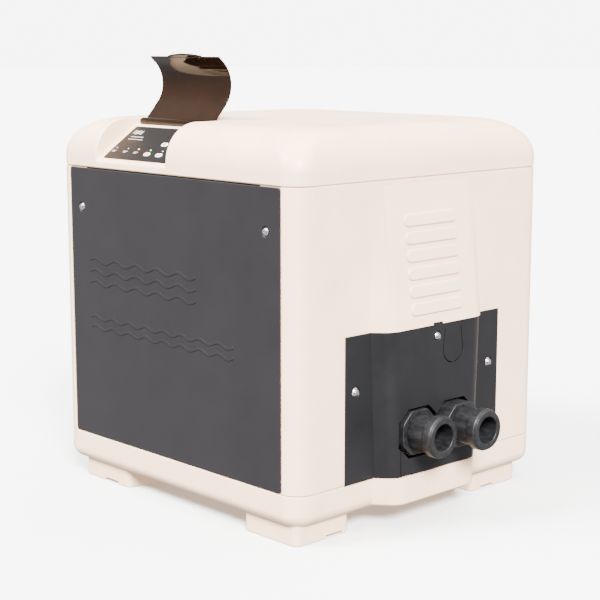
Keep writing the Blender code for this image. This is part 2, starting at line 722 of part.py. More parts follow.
keypad = empty("keypad_plane", (0, 0, FLOOR_Z), frame, FLOOR_SLOPE)
build_lid()


# ---- keypad: printed film, display lens, light pipe, keys and the board behind them ----
def build_keypad():
    left, right, near, far = OVERLAY
    sheet = box((left, near, FILM_LOW), (right, far, FILM_HIGH), 0.003, 3)
    film = piece("keypad_overlay", sheet, "keypad_film", parent=keypad)
    dx0, dx1, dy0, dy1 = DISPLAY
    cut(film, tool("display_hole", box((dx0, dy0, -0.01), (dx1, dy1, 0.01)), parent=keypad))
    lens = piece("display_window", box((dx0 + GAP, dy0 + GAP, LENS_LOW), (dx1 - GAP, dy1 - GAP, LENS_HIGH)),
                 "smoked_acrylic", parent=keypad)
    rim = box((dx0 - 0.0015, dy0 - 0.0015, LENS_LOW), (dx1 + 0.0015, dy1 + 0.0015, 0.0))
    join(lens, tool("display_rim", rim, parent=keypad))
    bar = box((LED_X[0] - 0.003, LED_ROW - 0.002, -0.0015), (LED_X[-1] + 0.003, LED_ROW + 0.002, 0.0))
    pipe_bar = piece("led_light_pipe", bar, "clear_lens", parent=keypad)
    for i, x in enumerate(LED_X):
        spot = (x, LED_ROW, 0)
        cut(film, tool(f"led_hole_{i}", rod(LED_R + 0.0004, -0.01, 0.01, spot, steps=12), parent=keypad))
        join(pipe_bar, tool(f"led_tip_{i}", rod(LED_R, -0.0010, LED_HIGH, spot, steps=12), parent=keypad))
    for name, spot in BUTTONS.items():
        hole = stadium(BUTTON_HALF[0] + GAP, BUTTON_HALF[1] + GAP)
        cut(film, tool(name + "_hole", prism(shifted(hole, spot), -0.01, 0.01), parent=keypad))
        middle = (*spot, 0.0)
        cap = piece(name, prism(shifted(stadium(*BUTTON_HALF), spot), KEY_LOW, KEY_HIGH), "white_key",
                    parent=keypad, at=middle)
        skirt = prism(shifted(stadium(*(half + KEY_SKIRT for half in BUTTON_HALF)), spot), -0.0010, 0.0)
        join(cap, tool(name + "_skirt", skirt, parent=keypad))
    left, right, near, far = BOARD
    board = piece("control_board", box((left, near, BOARD_LOW), (right, far, BOARD_HIGH)), "circuit_board",
                  parent=keypad)
    for name, (x, y) in BUTTONS.items():
        switch = box((x - 0.003, y - 0.003, BOARD_HIGH - GAP), (x + 0.003, y + 0.003, KEY_LOW - 0.0011))
        join(board, tool(name + "_switch", switch, parent=keypad))
    glass = box((dx0, dy0 + 0.001, BOARD_HIGH - GAP), (dx1, dy1 - 0.001, -0.0035))
    join(board, tool("display_module", glass, parent=keypad))


build_keypad()


# ---- keypad cover: smoked acrylic, bent to the lid's shape, on a steel pin ----
def cover_outline():
    """Side view of the closed cover: flat top, bend and short front, as one strip."""
    top = SEAM_Z + LID_HEIGHT - 0.0002
    centre = (0.002 + COVER_BEND_R, top - COVER_BEND_R)
    outer = [(HINGE.y + 0.001, top)] + arc(centre, COVER_BEND_R, 90, 180, 10) + [(0.002, TIP_Z)]
    inner = [(0.002 + COVER_THICK, TIP_Z)] + arc(centre, COVER_BEND_R - COVER_THICK, 180, 90, 10)
    return outer + inner + [(HINGE.y + 0.001, top - COVER_THICK)]


def thumb_lip():
    """A lens-shaped lip in the middle of the cover's front edge."""
    middle = (COVER_ENDS[0] + COVER_ENDS[1]) / 2
    radius_low = (LIP_HALF ** 2 + LIP_SAG_LOW ** 2) / (2 * LIP_SAG_LOW)
    radius_high = (LIP_HALF ** 2 + LIP_SAG_HIGH ** 2) / (2 * LIP_SAG_HIGH)
    spread_low = math.degrees(math.asin(LIP_HALF / radius_low))
    spread_high = math.degrees(math.asin(LIP_HALF / radius_high))
    low = arc((middle, TIP_Z - LIP_SAG_LOW + radius_low), radius_low, -90 - spread_low, -90 + spread_low, 8)
    high = arc((middle, TIP_Z + LIP_SAG_HIGH - radius_high), radius_high, 90 - spread_high, 90 + spread_high, 8)
    return prism(low + high[1:-1], 0.0004, 0.0004 + COVER_THICK + 0.001, "Y")


def build_keypad_cover():
    left, right = COVER_ENDS
    hinge_point = (0, HINGE.y, HINGE.z)
    sheet = prism(cover_outline(), left, right, "X")
    cover = piece("keypad_cover", sheet, "smoked_acrylic", at=hinge_point, tilt=-COVER_OPEN)
    carrier = empty("keypad_cover_swing", hinge_point, frame, -COVER_OPEN)
    barrel = rod(BARREL_R, left, right, (0, 0, 0), "X", 16)
    join(cover, tool("cover_barrel", barrel, parent=carrier))
    lip = thumb_lip()
    bmesh.ops.translate(lip, vec=-Vector(hinge_point), verts=lip.verts)
    join(cover, tool("cover_lip", lip, parent=carrier))
    bore = rod(PIN_R + GAP, left - 0.01, right + 0.01, (0, 0, 0), "X", 16)
    cut(cover, tool("cover_bore", bore, parent=carrier))
    pin = rod(PIN_R, RECESS_LEFT - 0.0027, RECESS_RIGHT + 0.0027, HINGE, "X", 16)
    piece("keypad_cover_pin", pin, "stainless")


build_keypad_cover()


# ---- service cover: thermoformed sheet with a knock-out and a break-out strip ----
def octagon(half_wide, half_high, flat_wide, flat_high):
    corner = [(half_wide, flat_high), (flat_wide, half_high)]
    right = [(u, -v) for u, v in reversed(corner)] + corner
    return right + [(-u, -v) for u, v in right]


def knock_out_slot(side):
    """Half of the horseshoe slit round the conduit knock-out."""

    def edge(r):
        low = arc((0, 0), r, -86, 5, 8)
        return low + [(r - 0.0042, 0.0300)]

    points = edge(KNOCK_OUT_R + 0.0007) + list(reversed(edge(KNOCK_OUT_R - 0.0007)))
    return [(side * u, v) for u, v in points]


def build_service_cover():
    flange = box((HALF + GAP, SERVICE_Y - COVER_HALF, COVER_LOW),
                 (COVER_FACE, SERVICE_Y + COVER_HALF, COVER_TOP))
    cover = piece("service_cover", flange, "charcoal_resin")
    join(cover, tool("cover_bulge", bulge(COVER_MIDDLE, at_height(BULGE_LOW, COVER_LOW), root=-GAP)))
    above, below = at_height(COVER_MIDDLE, COVER_TOP + 0.004), at_height(BULGE_LOW, COVER_LOW - 0.004)
    cut(cover, tool("cover_hollow", bulge(above, below, inset=COVER_WALL, root=0.004)))
    out = HALF + section_between(TOP_SCREW_Z, COVER_MIDDLE, BULGE_LOW)[1]
    top_out = HALF + COVER_MIDDLE[1]
    tab = box((top_out - COVER_WALL, SERVICE_Y - TAB_HALF, COVER_TOP - 0.002),
              (top_out, SERVICE_Y + TAB_HALF, COVER_TOP + TAB_RISE))
    join(cover, tool("cover_tab", tab))
    for side, word in ((-1, "front"), (1, "rear")):
        spot = (0, SERVICE_Y + side * COVER_SCREW_HALF, COVER_SCREW_Z)
        cut(cover, dimple(f"cover_dimple_{word}", COVER_FACE, 1, "X", spot))
        screw(f"cover_screw_{word}", COVER_FACE - DIMPLE_DEPTH + GAP, 1, "X", spot)
    spot = (0, SERVICE_Y, TOP_SCREW_Z)
    cut(cover, dimple("cover_dimple_top", out, 1, "X", spot))
    screw("cover_screw_top", out - DIMPLE_DEPTH + 2 * GAP, 1, "X", spot)
    for name, y in UNION_Y.items():
        outline = shifted(octagon(*CUTOUT, *CUTOUT_FLAT), (y, UNION_Z))
        cut(cover, tool(f"{name}_cutout", prism(outline, HALF + 0.01, HALF + 0.05, "X")))
    for side in (-1, 1):
        slot = shifted(knock_out_slot(side), KNOCK_OUT_SPOT)
        cut(cover, tool(f"knock_out_{side}", prism(slot, HALF + 0.015, HALF + 0.05, "X")))
    behind, ahead, below = HALF + 0.015, HALF + 0.05, COVER_LOW - 0.0145
    slit_y, slit_top = FRONT_SLIT
    cut(cover, tool("break_out_slit", box((behind, slit_y, below), (ahead, slit_y + SLIT_WIDTH, slit_top))))
    for low_z, high_z in PERFORATIONS:
        slit = box((behind, PERFORATION_Y, low_z), (ahead, PERFORATION_Y + SLIT_WIDTH, high_z))
        cut(cover, tool(f"perforation_{low_z}", slit))
    near, far, top = BREAK_OUT_NOTCH
    cut(cover, tool("break_out_notch", box((behind, near, below), (ahead, far, top))))


build_service_cover()


# ---- water unions: manifold ports, lobed nuts, tailpieces and their O-rings ----
def lobed(radius, depth, lobes, steps):
    """A scalloped outline for a hand-tight union nut."""
    points = []
    for i in range(steps):
        angle = math.tau * i / steps
        reach = radius + depth * math.cos(lobes * angle)
        points.append((reach * math.cos(angle), reach * math.sin(angle)))
    return points


def build_union(name):
    y, face = UNION_Y[name], UNION_FACE[name]
    centre = (0, y, UNION_Z)
    start = face + GAP
    outline = shifted(lobed(NUT_R, NUT_LOBE_DEPTH, NUT_LOBES, 32), (y, UNION_Z))
    nut = piece(f"{name}_union_nut", prism(outline, start, start + NUT_LENGTH, "X"), "filled_nylon")
    cut(nut, tool(f"{name}_nut_bore", rod(TAIL_R + GAP, start - 0.01, start + 0.05, centre, "X")))
    cut(nut, tool(f"{name}_nut_seat", rod(SEAT_BORE_R, start - 0.01, start + SEAT_BORE_DEEP, centre, "X")))
    front = start + NUT_LENGTH + GAP
    mouth = front + COLLAR_LENGTH
    profile = [(BORE_R, start + 0.0030), (TAIL_FLANGE_R, start + 0.0030), (TAIL_FLANGE_R, start + 0.0055),
               (TAIL_R, start + 0.0055), (TAIL_R, front), (COLLAR_R - 0.0015, front),
               (COLLAR_R, front + 0.0015), (COLLAR_R, mouth - 0.0015), (COLLAR_R - 0.0012, mouth),
               (LIP_R, mouth), (LIP_R - 0.0006, mouth + LIP_LENGTH), (BORE_R + 0.0010, mouth + LIP_LENGTH),
               (BORE_R, mouth + 0.0016)]
    piece(f"{name}_tailpiece", turned(profile, centre, "X", 36), "filled_nylon")
    middle, cord = O_RING
    seal = [(middle + u, start + 0.0014 + v) for u, v in polygon(cord, 6)]
    piece(f"{name}_o_ring", turned(seal, centre, "X", 24), "rubber")


def build_manifold():
    low, high = MANIFOLD
    manifold = piece("water_manifold", box(low, high, 0.008, 2, "Y"), "filled_nylon")
    for name, y in UNION_Y.items():
        build_union(name)
        port = octagon(OCTAGON_HALF, OCTAGON_HALF * 0.95, OCTAGON_HALF * 0.5, OCTAGON_HALF * 0.45)
        join(manifold, tool(f"{name}_port", prism(shifted(port, (y, UNION_Z)), 0.265, UNION_FACE[name], "X")))
        cut(manifold, tool(f"{name}_port_bore", rod(BORE_R, 0.230, 0.33, (0, y, UNION_Z), "X")))
    for name, near, far in (("inlet", CHAMBER_NEAR, PARTITION[0]), ("outlet", PARTITION[1], CHAMBER_FAR)):
        chamber = box((CHAMBER_X[0], near, CHAMBER_Z[0]), (CHAMBER_X[1], far, CHAMBER_Z[1]))
        cut(manifold, tool(f"{name}_chamber", chamber))
    spot = (SPOOL_X, 0, UNION_Z)
    cut(manifold, tool("bypass_hole", rod(BYPASS_R, PARTITION[0] - 0.001, PARTITION[1] + 0.001, spot, "Y")))
    cut(manifold, tool("regulator_hole", rod(0.0120, 0.140, 0.175, spot, "Y")))
    cut(manifold, tool("drain_hole", rod(0.0060, 0.085, 0.115, (SPOOL_X, DRAIN_Y, 0), "Z", 16)))
    feed = (0, DRUM.y - COIL_R, COIL_LOW)
    join(manifold, tool("coil_feed_boss", rod(0.0125, low[0], low[0] + 0.012, feed, "X", 20)))
    cut(manifold, tool("coil_feed_hole", rod(0.0095, low[0] - 0.01, low[0] + 0.020, feed, "X", 20)))
    cut(manifold, tool("coil_return_hole", rod(0.0100, 0.325, 0.36, spot, "Y", 20)))
    for name, y, tall in (("water_pressure_switch", SWITCH_Y, 0.030), ("high_limit_sensor", SENSOR_Y, 0.016)):
        foot = high[2] + GAP
        neck, crown = foot + 0.0080, foot + 0.0080 + tall
        profile = [(0, foot), (0.0090, foot), (0.0090, neck), (0.0130, neck), (0.0130, crown),
                   (0.0040, crown + 0.0030), (0.0040, crown + 0.0097), (0, crown + 0.0097)]
        piece(name, turned(profile, (SPOOL_X, y, 0), "Z", 16), "brass")
    face = low[1]
    regulator = [(0, face - 0.0002), (0.0116, face - 0.0002), (0.0116, face + 0.0140), (0.0080, face + 0.0160),
                 (0.0080, 0.2250), (0.0030, 0.2290), (0, 0.2290)]
    piece("thermal_regulator", turned(regulator, spot, "Y", 18), "brass")
    hexagon = shifted(polygon(0.0185, 6), (spot[0], spot[2]))
    cap = piece("regulator_cap", prism(hexagon, face - 0.0160, face - 0.0050, "Y"), "filled_nylon")
    join(cap, tool("regulator_cap_face", rod(0.0160, face - 0.0051, face - 0.0005, spot, "Y", 20)))
    plug = piece("drain_plug", prism(shifted(polygon(0.0095, 6), (SPOOL_X, DRAIN_Y)), 0.0850, 0.0945), "brass")
    join(plug, tool("drain_plug_shank", rod(0.0056, 0.0940, 0.1100, (SPOOL_X, DRAIN_Y, 0), "Z", 14)))
    valve = [(0, PARTITION[1] + GAP), (0.0140, PARTITION[1] + GAP), (0.0140, PARTITION[1] + 0.0030),
             (0.0030, PARTITION[1] + 0.0045), (0.0030, 0.3120), (0, 0.3120)]
    piece("bypass_valve", turned(valve, spot, "Y", 20), "stainless", at=(spot[0], PARTITION[1], spot[2]))
    start, end = PARTITION[1] + 0.0044 + SPRING_WIRE + GAP, CHAMBER_FAR - SPRING_WIRE - GAP
    helix = []
    for i in range(SPRING_TURNS * 10 + 1):
        share = i / (SPRING_TURNS * 10)
        angle = math.tau * SPRING_TURNS * share
        helix.append((spot[0] + SPRING_R * math.cos(angle), start + (end - start) * share,
                      spot[2] + SPRING_R * math.sin(angle)))
    pipe("bypass_spring", helix, SPRING_WIRE, "stainless", sides=1)


build_manifold()


# ---- burner chamber, insulation and the copper coil ----
def build_chamber():
    top = DRUM_HIGH
    wall, rim = 0.002, DRUM_R + RIM_WIDTH
    shell = [(0, DRUM_LOW), (DRUM_R, DRUM_LOW), (DRUM_R, top - wall), (rim, top - wall), (rim, top),
             (DRUM_R - wall, top), (DRUM_R - wall, DRUM_LOW + wall), (0, DRUM_LOW + wall)]
    chamber = piece("combustion_chamber", turned(shell, DRUM, steps=40), "aluminised_steel")
    lining = piece("chamber_insulation", ring(INSULATION_R, DRUM_R - wall - GAP, DRUM_LOW + wall + GAP,
                                              top - 0.0004, DRUM, steps=40), "ceramic_fibre")
    feed_y, return_y = DRUM.y - COIL_R, DRUM.y + COIL_R
    high = COIL_LOW + COIL_PITCH * COIL_TURNS
    openings = {
        "feed": rod(TUBE_R + 0.002, DRUM.x, 0.18, (0, feed_y, COIL_LOW), "X", 20),
        "return": rod(TUBE_R + 0.002, DRUM.x, 0.18, (0, return_y, high), "X", 20),
        "flue": rod(FLUE_R + 0.0005, DRUM.y, DRUM.y + 0.2, (DRUM.x, 0, FLUE_Z), "Y"),
    }
    for name, shape in openings.items():
        opening = tool(f"chamber_{name}_opening", shape)
        cut(chamber, opening)
        cut(lining, opening)
    helix = [(0.1895, feed_y, COIL_LOW)]
    steps = int(COIL_TURNS * 16)
    for i in range(steps + 1):
        angle = math.radians(-90) - math.tau * COIL_TURNS * i / steps
        helix.append((DRUM.x + COIL_R * math.cos(angle), DRUM.y + COIL_R * math.sin(angle),
                      COIL_LOW + COIL_PITCH * COIL_TURNS * i / steps))
    helix.append((0.1895, return_y, high))
    pipe("tube_coil", helix, TUBE_R, "copper")
    route = [(0.1899, return_y, high), (SPOOL_X, return_y, high), (SPOOL_X, return_y, UNION_Z),
             (SPOOL_X, MANIFOLD[1][1] + GAP, UNION_Z)]
    pipe("return_pipe", route, 0.0095, "copper", bend=0.018)
    plate = piece("chamber_top_plate", ring(BURNER_R + 0.0035, rim, top + GAP, top + 0.0035, DRUM, steps=40),
                  "aluminised_steel")
    igniter_spot = (DRUM.x + IGNITER_X, DRUM.y, 0)
    cut(plate, tool("igniter_hole", rod(0.0060, top - 0.01, top + 0.01, igniter_spot, steps=14)))
    base = top + 0.0038
    outer, lip, sheet = BURNER_R + 0.0015, BURNER_R + 0.0155, 0.0015
    holder = [(0, BURNER_LOW), (outer, BURNER_LOW), (outer, base), (lip, base), (lip, base + sheet),
              (BURNER_R, base + sheet), (BURNER_R, BURNER_LOW + sheet), (0, BURNER_LOW + sheet)]
    piece("flame_holder", turned(holder, DRUM, steps=32), "stainless")
    rod_shape = [(0, 0.2900), (0.0016, 0.2900), (0.0016, 0.3250), (0.0050, 0.3250), (0.0050, base),
                 (0.0110, base), (0.0110, base + 0.0020), (0.0055, base + 0.0020), (0.0055, base + 0.0260),
                 (0, base + 0.0260)]
    piece("igniter", turned(rod_shape, igniter_spot, steps=14), "ceramic_fibre")


build_chamber()


# ---- fan: scroll, wheel and motor, blowing down into the burner ----
def scroll(offset, bottom):
    """Side view of the scroll and its downward duct, drawn inwards by offset."""
    points = []
    for i in range(16):
        angle = math.radians(20 * i)
        reach = SCROLL_R - 0.0010 * i - offset
        points.append((FAN.y + reach * math.cos(angle), FAN.z + reach * math.sin(angle)))
    duct_far, duct_near = FAN.y + SCROLL_R - offset, FAN.y + 0.0280 + offset
    points += [(duct_near, FAN.z - 0.0485 - offset / 2), (duct_near, bottom), (duct_far, bottom)]
    return points


def paddles(inner, outer, blades, half_thick):
    """The outline of a straight-bladed wheel seen along its shaft."""
    points = []
    for i in range(blades):
        for reach, side in ((outer, -1), (outer, 1), (inner, 1), (inner, -1)):
            if reach == inner and side < 0:
                continue
            turn = math.tau * (i + (0.5 if reach == inner else 0.0)) / blades
            angle = turn + (side * half_thick / reach if reach == outer else 0.0)
            points.append((reach * math.cos(angle), reach * math.sin(angle)))
    return points


def build_fan():
    left, right = FAN.x - FAN_WIDTH / 2, FAN.x + FAN_WIDTH / 2
    floor = DRUM_HIGH + 0.0058
    housing = piece("blower_housing", prism(scroll(0.0, floor + 0.001), left, right, "X"), "cast_aluminium")
    cut(housing, tool("scroll_hollow", prism(scroll(SCROLL_WALL, floor - 0.02), left + SCROLL_WALL,
                                                right - SCROLL_WALL, "X")))
    foot = box((left - 0.012, FAN.y + 0.016, floor), (right + 0.012, FAN.y + 0.082, floor + 0.003))
    join(housing, tool("duct_foot", foot))
    throat = box((left + SCROLL_WALL, FAN.y + 0.0305, floor - 0.01),
                 (right - SCROLL_WALL, FAN.y + SCROLL_R - SCROLL_WALL, floor + 0.02))
    cut(housing, tool("duct_throat", throat))
    cut(housing, tool("inlet_eye", rod(0.0300, right - 0.01, right + 0.01, (0, FAN.y, FAN.z), "X")))
    cut(housing, tool("motor_hole", rod(0.0120, left - 0.01, left + 0.01, (0, FAN.y, FAN.z), "X", 20)))
    wheel_left, wheel_right = left + 0.0080, right - 0.0090
    outline = shifted(paddles(WHEEL_HUB_R, WHEEL_R, BLADES, 0.0012), (FAN.y, FAN.z))
    blades = prism(outline, wheel_left + 0.001, wheel_right, "X")
    wheel = piece("blower_wheel", blades, "cast_aluminium", at=(wheel_left, FAN.y, FAN.z))
    join(wheel, tool("wheel_disc", rod(WHEEL_R, wheel_left, wheel_left + 0.002, (0, FAN.y, FAN.z), "X", 36)))
    cut(wheel, tool("wheel_bore", rod(0.0033, left - 0.01, right, (0, FAN.y, FAN.z), "X", 16)))
    end = left - MOTOR_LENGTH
    motor = [(0, end), (0.0120, end), (MOTOR_R, end + 0.0040), (MOTOR_R, left - 0.0030),
             (0.0400, left - 0.0030), (0.0400, left - GAP), (0.0030, left - GAP), (0.0030, right - 0.0120),
             (0, right - 0.0120)]
    piece("blower_motor", turned(motor, (0, FAN.y, FAN.z), "X", 24), "cast_aluminium")
    start = right + GAP
    throat, end = start + 0.028, start + 0.060
    mixer = [(0.0280, start), (0.0360, start), (0.0360, start + 0.003), (0.0300, start + 0.003),
             (0.0210, throat), (0.0270, end), (0.0245, end), (0.0185, throat)]
    venturi = piece("air_gas_mixer", turned(mixer, (0, FAN.y, FAN.z), "X", 28), "cast_aluminium")
    cut(venturi, tool("gas_port", rod(0.0070, VALVE[1][1], FAN.y, (0.0400, 0, FAN.z), "Y", 14)))


build_fan()


# ---- gas train ----
def build_gas_train():
    low, high = VALVE
    valve = piece("gas_valve", box(low, high, 0.004, 2), "cast_aluminium")
    port = (0.0400, 0, FAN.z)
    join(valve, tool("valve_outlet", rod(0.0064, high[1] - 0.001, FAN.y - 0.0190, port, "Y", 14)))
    join(valve, tool("valve_coil", rod(0.0130, low[2] + 0.012, high[2] + 0.018, (0.053, 0.144, 0), "Z", 18)))
    knob_spot = (0.031, GAS_Y + 0.008, high[2])
    knob_shape = [(0, GAP), (KNOB_R, GAP), (KNOB_R, 0.010), (KNOB_R - 0.002, 0.0120), (0, 0.0120)]
    knob = piece("gas_valve_knob", turned(knob_shape, knob_spot, "Z", 20), "red_knob", at=knob_spot)
    grip = box((knob_spot[0] - 0.0115, knob_spot[1] - 0.0025, high[2] + 0.010),
               (knob_spot[0] + 0.0115, knob_spot[1] + 0.0025, high[2] + 0.0180))
    join(knob, tool("knob_grip", grip))
    route = [(low[0] - GAP, GAS_Y, GAS_PIPE_Z), (GAS_X, GAS_Y, GAS_PIPE_Z), (GAS_X, GAS_Y, GAS_OUT_Z),
             (GAS_X, 0.4950, GAS_OUT_Z)]
    pipe("gas_pipe", route, GAS_PIPE_R, "aluminised_steel", bend=0.024)
    spot = (GAS_X, 0, GAS_OUT_Z)
    fitting = piece("gas_inlet_union", ring(0.0090, 0.0130, 0.4953, GAS_END_Y, spot, "Y", 20), "brass")
    outer = [(x + GAS_X, z + GAS_OUT_Z) for x, z in polygon(0.0160, 6)]
    nut = tool("gas_inlet_hex", prism(outer, 0.5000, 0.5110, "Y"))
    join(fitting, nut)
    cut(fitting, tool("gas_inlet_bore", rod(0.0090, 0.49, 0.56, spot, "Y", 20)))


build_gas_train()


# ---- flue ----
def build_flue():
    spot = (DRUM.x, 0, FLUE_Z)
    piece("exhaust_pipe", ring(FLUE_R - 0.0015, FLUE_R, 0.4250, 0.5180, spot, "Y", 32), "stainless")
    face = DEPTH + GAP
    plate = box((DRUM.x - 0.062, face, FLUE_Z - 0.030), (DRUM.x + 0.062, face + 0.003, FLUE_Z + 0.062),
                0.006, 2, "Y")
    outlet = piece("flue_outlet", plate, "cream_resin")
    middle = (DRUM.x, 0, VENT_Z)
    outer = rod(VENT_R, face, face + VENT_LENGTH, middle, "Y", 36)
    join(outlet, tool("vent_collar", outer))
    inner = rod(VENT_R - 0.003, face + 0.006, face + 0.05, middle, "Y", 36)
    cut(outlet, tool("vent_bore", inner))
    cut(outlet, tool("flue_passage", rod(FLUE_R + 0.001, face - 0.02, face + 0.02, spot, "Y", 32)))
    guard_y = face + 0.0120
    hoop = ring(VENT_R - 0.0090, VENT_R - 0.0033, guard_y, guard_y + 0.002, middle, "Y", 32)
    guard = piece("flue_guard", hoop, "stainless")
    for i in range(GUARD_BARS):
        across = (i - (GUARD_BARS - 1) / 2) * GUARD_PITCH
        x, reach = DRUM.x + across, math.sqrt((VENT_R - 0.006) ** 2 - across ** 2)
        bar = box((x - 0.001, guard_y, VENT_Z - reach), (x + 0.001, guard_y + 0.002, VENT_Z + reach))
        join(guard, tool(f"guard_bar_{i}", bar))


build_flue()


# ---- controls fixed inside the cabinet ----
def build_controls():
    module = piece("ignition_module", box((-0.2570, 0.060, 0.250), (-0.2250, 0.140, 0.330), 0.003, 2, "X"),
                   "charcoal_resin")
    for i in range(3):
        y = 0.080 + i * 0.020
        terminal = box((-0.2255, y - 0.003, 0.300), (-0.2180, y + 0.003, 0.304))
        join(module, tool(f"module_terminal_{i}", terminal))
    core = piece("transformer", box((-0.2400, 0.040, 0.0483), (-0.1900, 0.100, 0.0903)), "aluminised_steel")
    winding = box((-0.2330, 0.033, 0.0560), (-0.1970, 0.107, 0.0830), 0.004, 2, "Y")
    join(core, tool("transformer_winding", winding))
    low, high = Vector((0.150, 0.4300, 0.330)), Vector((0.235, 0.4900, 0.410))
    junction = piece("junction_box", box(low, high), "aluminised_steel")
    hollow = box(low + Vector((0.0015, -0.01, 0.0015)), high - Vector((0.0015,) * 3))
    cut(junction, tool("junction_hollow", hollow))
    cut(junction, tool("conduit_hole", rod(0.0110, 0.200, 0.250, (0, 0.460, 0.370), "X", 18)))
    piece("junction_box_cover", box((low.x, low.y - 0.0018, low.z), (high.x, low.y - GAP, high.z)),
          "aluminised_steel")


build_controls()
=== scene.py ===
import json
import math

import bmesh
import bpy
from mathutils import Matrix, Vector


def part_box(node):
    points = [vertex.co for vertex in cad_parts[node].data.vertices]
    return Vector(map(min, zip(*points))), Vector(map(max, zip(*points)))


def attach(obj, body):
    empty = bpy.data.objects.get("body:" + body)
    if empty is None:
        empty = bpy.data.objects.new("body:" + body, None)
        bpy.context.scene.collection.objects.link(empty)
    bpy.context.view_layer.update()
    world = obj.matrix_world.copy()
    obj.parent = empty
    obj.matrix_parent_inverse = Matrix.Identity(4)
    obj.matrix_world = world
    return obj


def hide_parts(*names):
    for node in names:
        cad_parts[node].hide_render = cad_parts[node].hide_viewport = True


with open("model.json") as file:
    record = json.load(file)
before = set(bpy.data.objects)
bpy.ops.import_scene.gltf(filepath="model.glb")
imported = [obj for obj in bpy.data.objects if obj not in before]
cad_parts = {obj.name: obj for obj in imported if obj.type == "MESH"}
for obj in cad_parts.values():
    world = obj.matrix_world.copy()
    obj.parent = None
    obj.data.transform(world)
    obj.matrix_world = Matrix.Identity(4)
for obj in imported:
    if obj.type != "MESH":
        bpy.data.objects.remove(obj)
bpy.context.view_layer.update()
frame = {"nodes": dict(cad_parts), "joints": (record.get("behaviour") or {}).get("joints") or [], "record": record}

# ---- Base moulding ----
# The cream tray that the heater stands on: one thick structural-foam moulding with four feet, a boss
# under the water unions and slots in the feet for tie-down clips. The works are screwed down inside it.
# Every piece is shaped in the cabinet's own coordinates (X from its middle, Y from its front, Z up) and
# is moved to the frame's by CABINET when it is finished.
lid_low, lid_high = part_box("top_cover")
CABINET = Vector(((lid_low.x + lid_high.x) / 2, lid_low.y, 0.0))
HALF = (lid_high.x - lid_low.x) / 2
DEPTH = lid_high.y - lid_low.y
SEAM_Z = lid_low.z
BASE_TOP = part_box("base")[1].z
CORNER_R = 0.032
ALONG = {"X": Vector((1, 0, 0)), "Y": Vector((0, 1, 0)), "Z": Vector((0, 0, 1))}
TINY = 1e-5


def block(low, high, corner=0.0, segments=6, along="Z"):
    """A block; corner rounds the four edges that run along the named axis."""
    low, high = Vector(low), Vector(high)
    bm = bmesh.new()
    bmesh.ops.create_cube(bm, size=1.0)
    bmesh.ops.scale(bm, vec=high - low, verts=bm.verts)
    bmesh.ops.translate(bm, vec=(low + high) / 2, verts=bm.verts)
    if corner:
        axis = "XYZ".index(along)
        rounded(bm, [e for e in bm.edges if abs((e.verts[0].co - e.verts[1].co).normalized()[axis]) > 0.99],
                corner, segments)
    return bm


def rounded(bm, edges, radius, segments=4):
    """Rounds the edges over with a bevel."""
    bmesh.ops.bevel(bm, geom=edges, offset=radius, segments=segments, affect="EDGES", profile=0.5,
                    material=-1)
    return bm


def edges_where(bm, test):
    """The edges that have both ends where the test holds."""
    return [edge for edge in bm.edges if all(test(vert.co) for vert in edge.verts)]


def moved(bm, matrix):
    """The shape, moved and turned by the matrix."""
    bmesh.ops.transform(bm, matrix=matrix, verts=bm.verts)
    return bm


def arc(centre, radius, start, end, steps):
    """Points along a circular arc, angles in degrees, both ends included."""
    angles = [math.radians(start + (end - start) * i / steps) for i in range(steps + 1)]
    return [(centre[0] + radius * math.cos(a), centre[1] + radius * math.sin(a)) for a in angles]


def rounded_rectangle(left, right, near, far, radius, steps=10):
    """The outline of a rectangle with rounded corners."""
    corners = (((right - radius, near + radius), -90), ((right - radius, far - radius), 0),
               ((left + radius, far - radius), 90), ((left + radius, near + radius), 180))
    return [point for centre, start in corners for point in arc(centre, radius, start, start + 90, steps)]


def loop(bm, points):
    """A closed loop of edges: a circle of as many corners, each led to its place."""
    made = bmesh.ops.create_circle(bm, cap_ends=False, segments=len(points), radius=1.0)["verts"]
    for vert, point in zip(made, points):
        vert.co = point
    return list(dict.fromkeys(edge for vert in made for edge in vert.link_edges))


def skin(rings):
    """A closed skin drawn through rings of equally many points, with flat ends."""
    bm = bmesh.new()
    rows = [loop(bm, points) for points in rings]
    for below, above in zip(rows, rows[1:]):
        bmesh.ops.bridge_loops(bm, edges=below + above)
    for end in (rows[0], rows[-1]):
        bmesh.ops.edgeloop_fill(bm, edges=end)
    bmesh.ops.recalc_face_normals(bm, faces=bm.faces)
    return bm


def plate(outline, low, high, axis="Z"):
    """A flat outline, in the two other axes' coordinates, extruded along an axis."""
    spot = {"X": lambda u, v: (low, u, v), "Y": lambda u, v: (u, low, v), "Z": lambda u, v: (u, v, low)}
    bm = bmesh.new()
    edges = loop(bm, [spot[axis](u, v) for u, v in outline])
    bmesh.ops.edgeloop_fill(bm, edges=edges)
    raised = bmesh.ops.extrude_face_region(bm, geom=bm.faces[:])["geom"]
    bmesh.ops.translate(bm, vec=ALONG[axis] * (high - low),
                        verts=[v for v in raised if isinstance(v, bmesh.types.BMVert)])
    bmesh.ops.recalc_face_normals(bm, faces=bm.faces)
    return bm


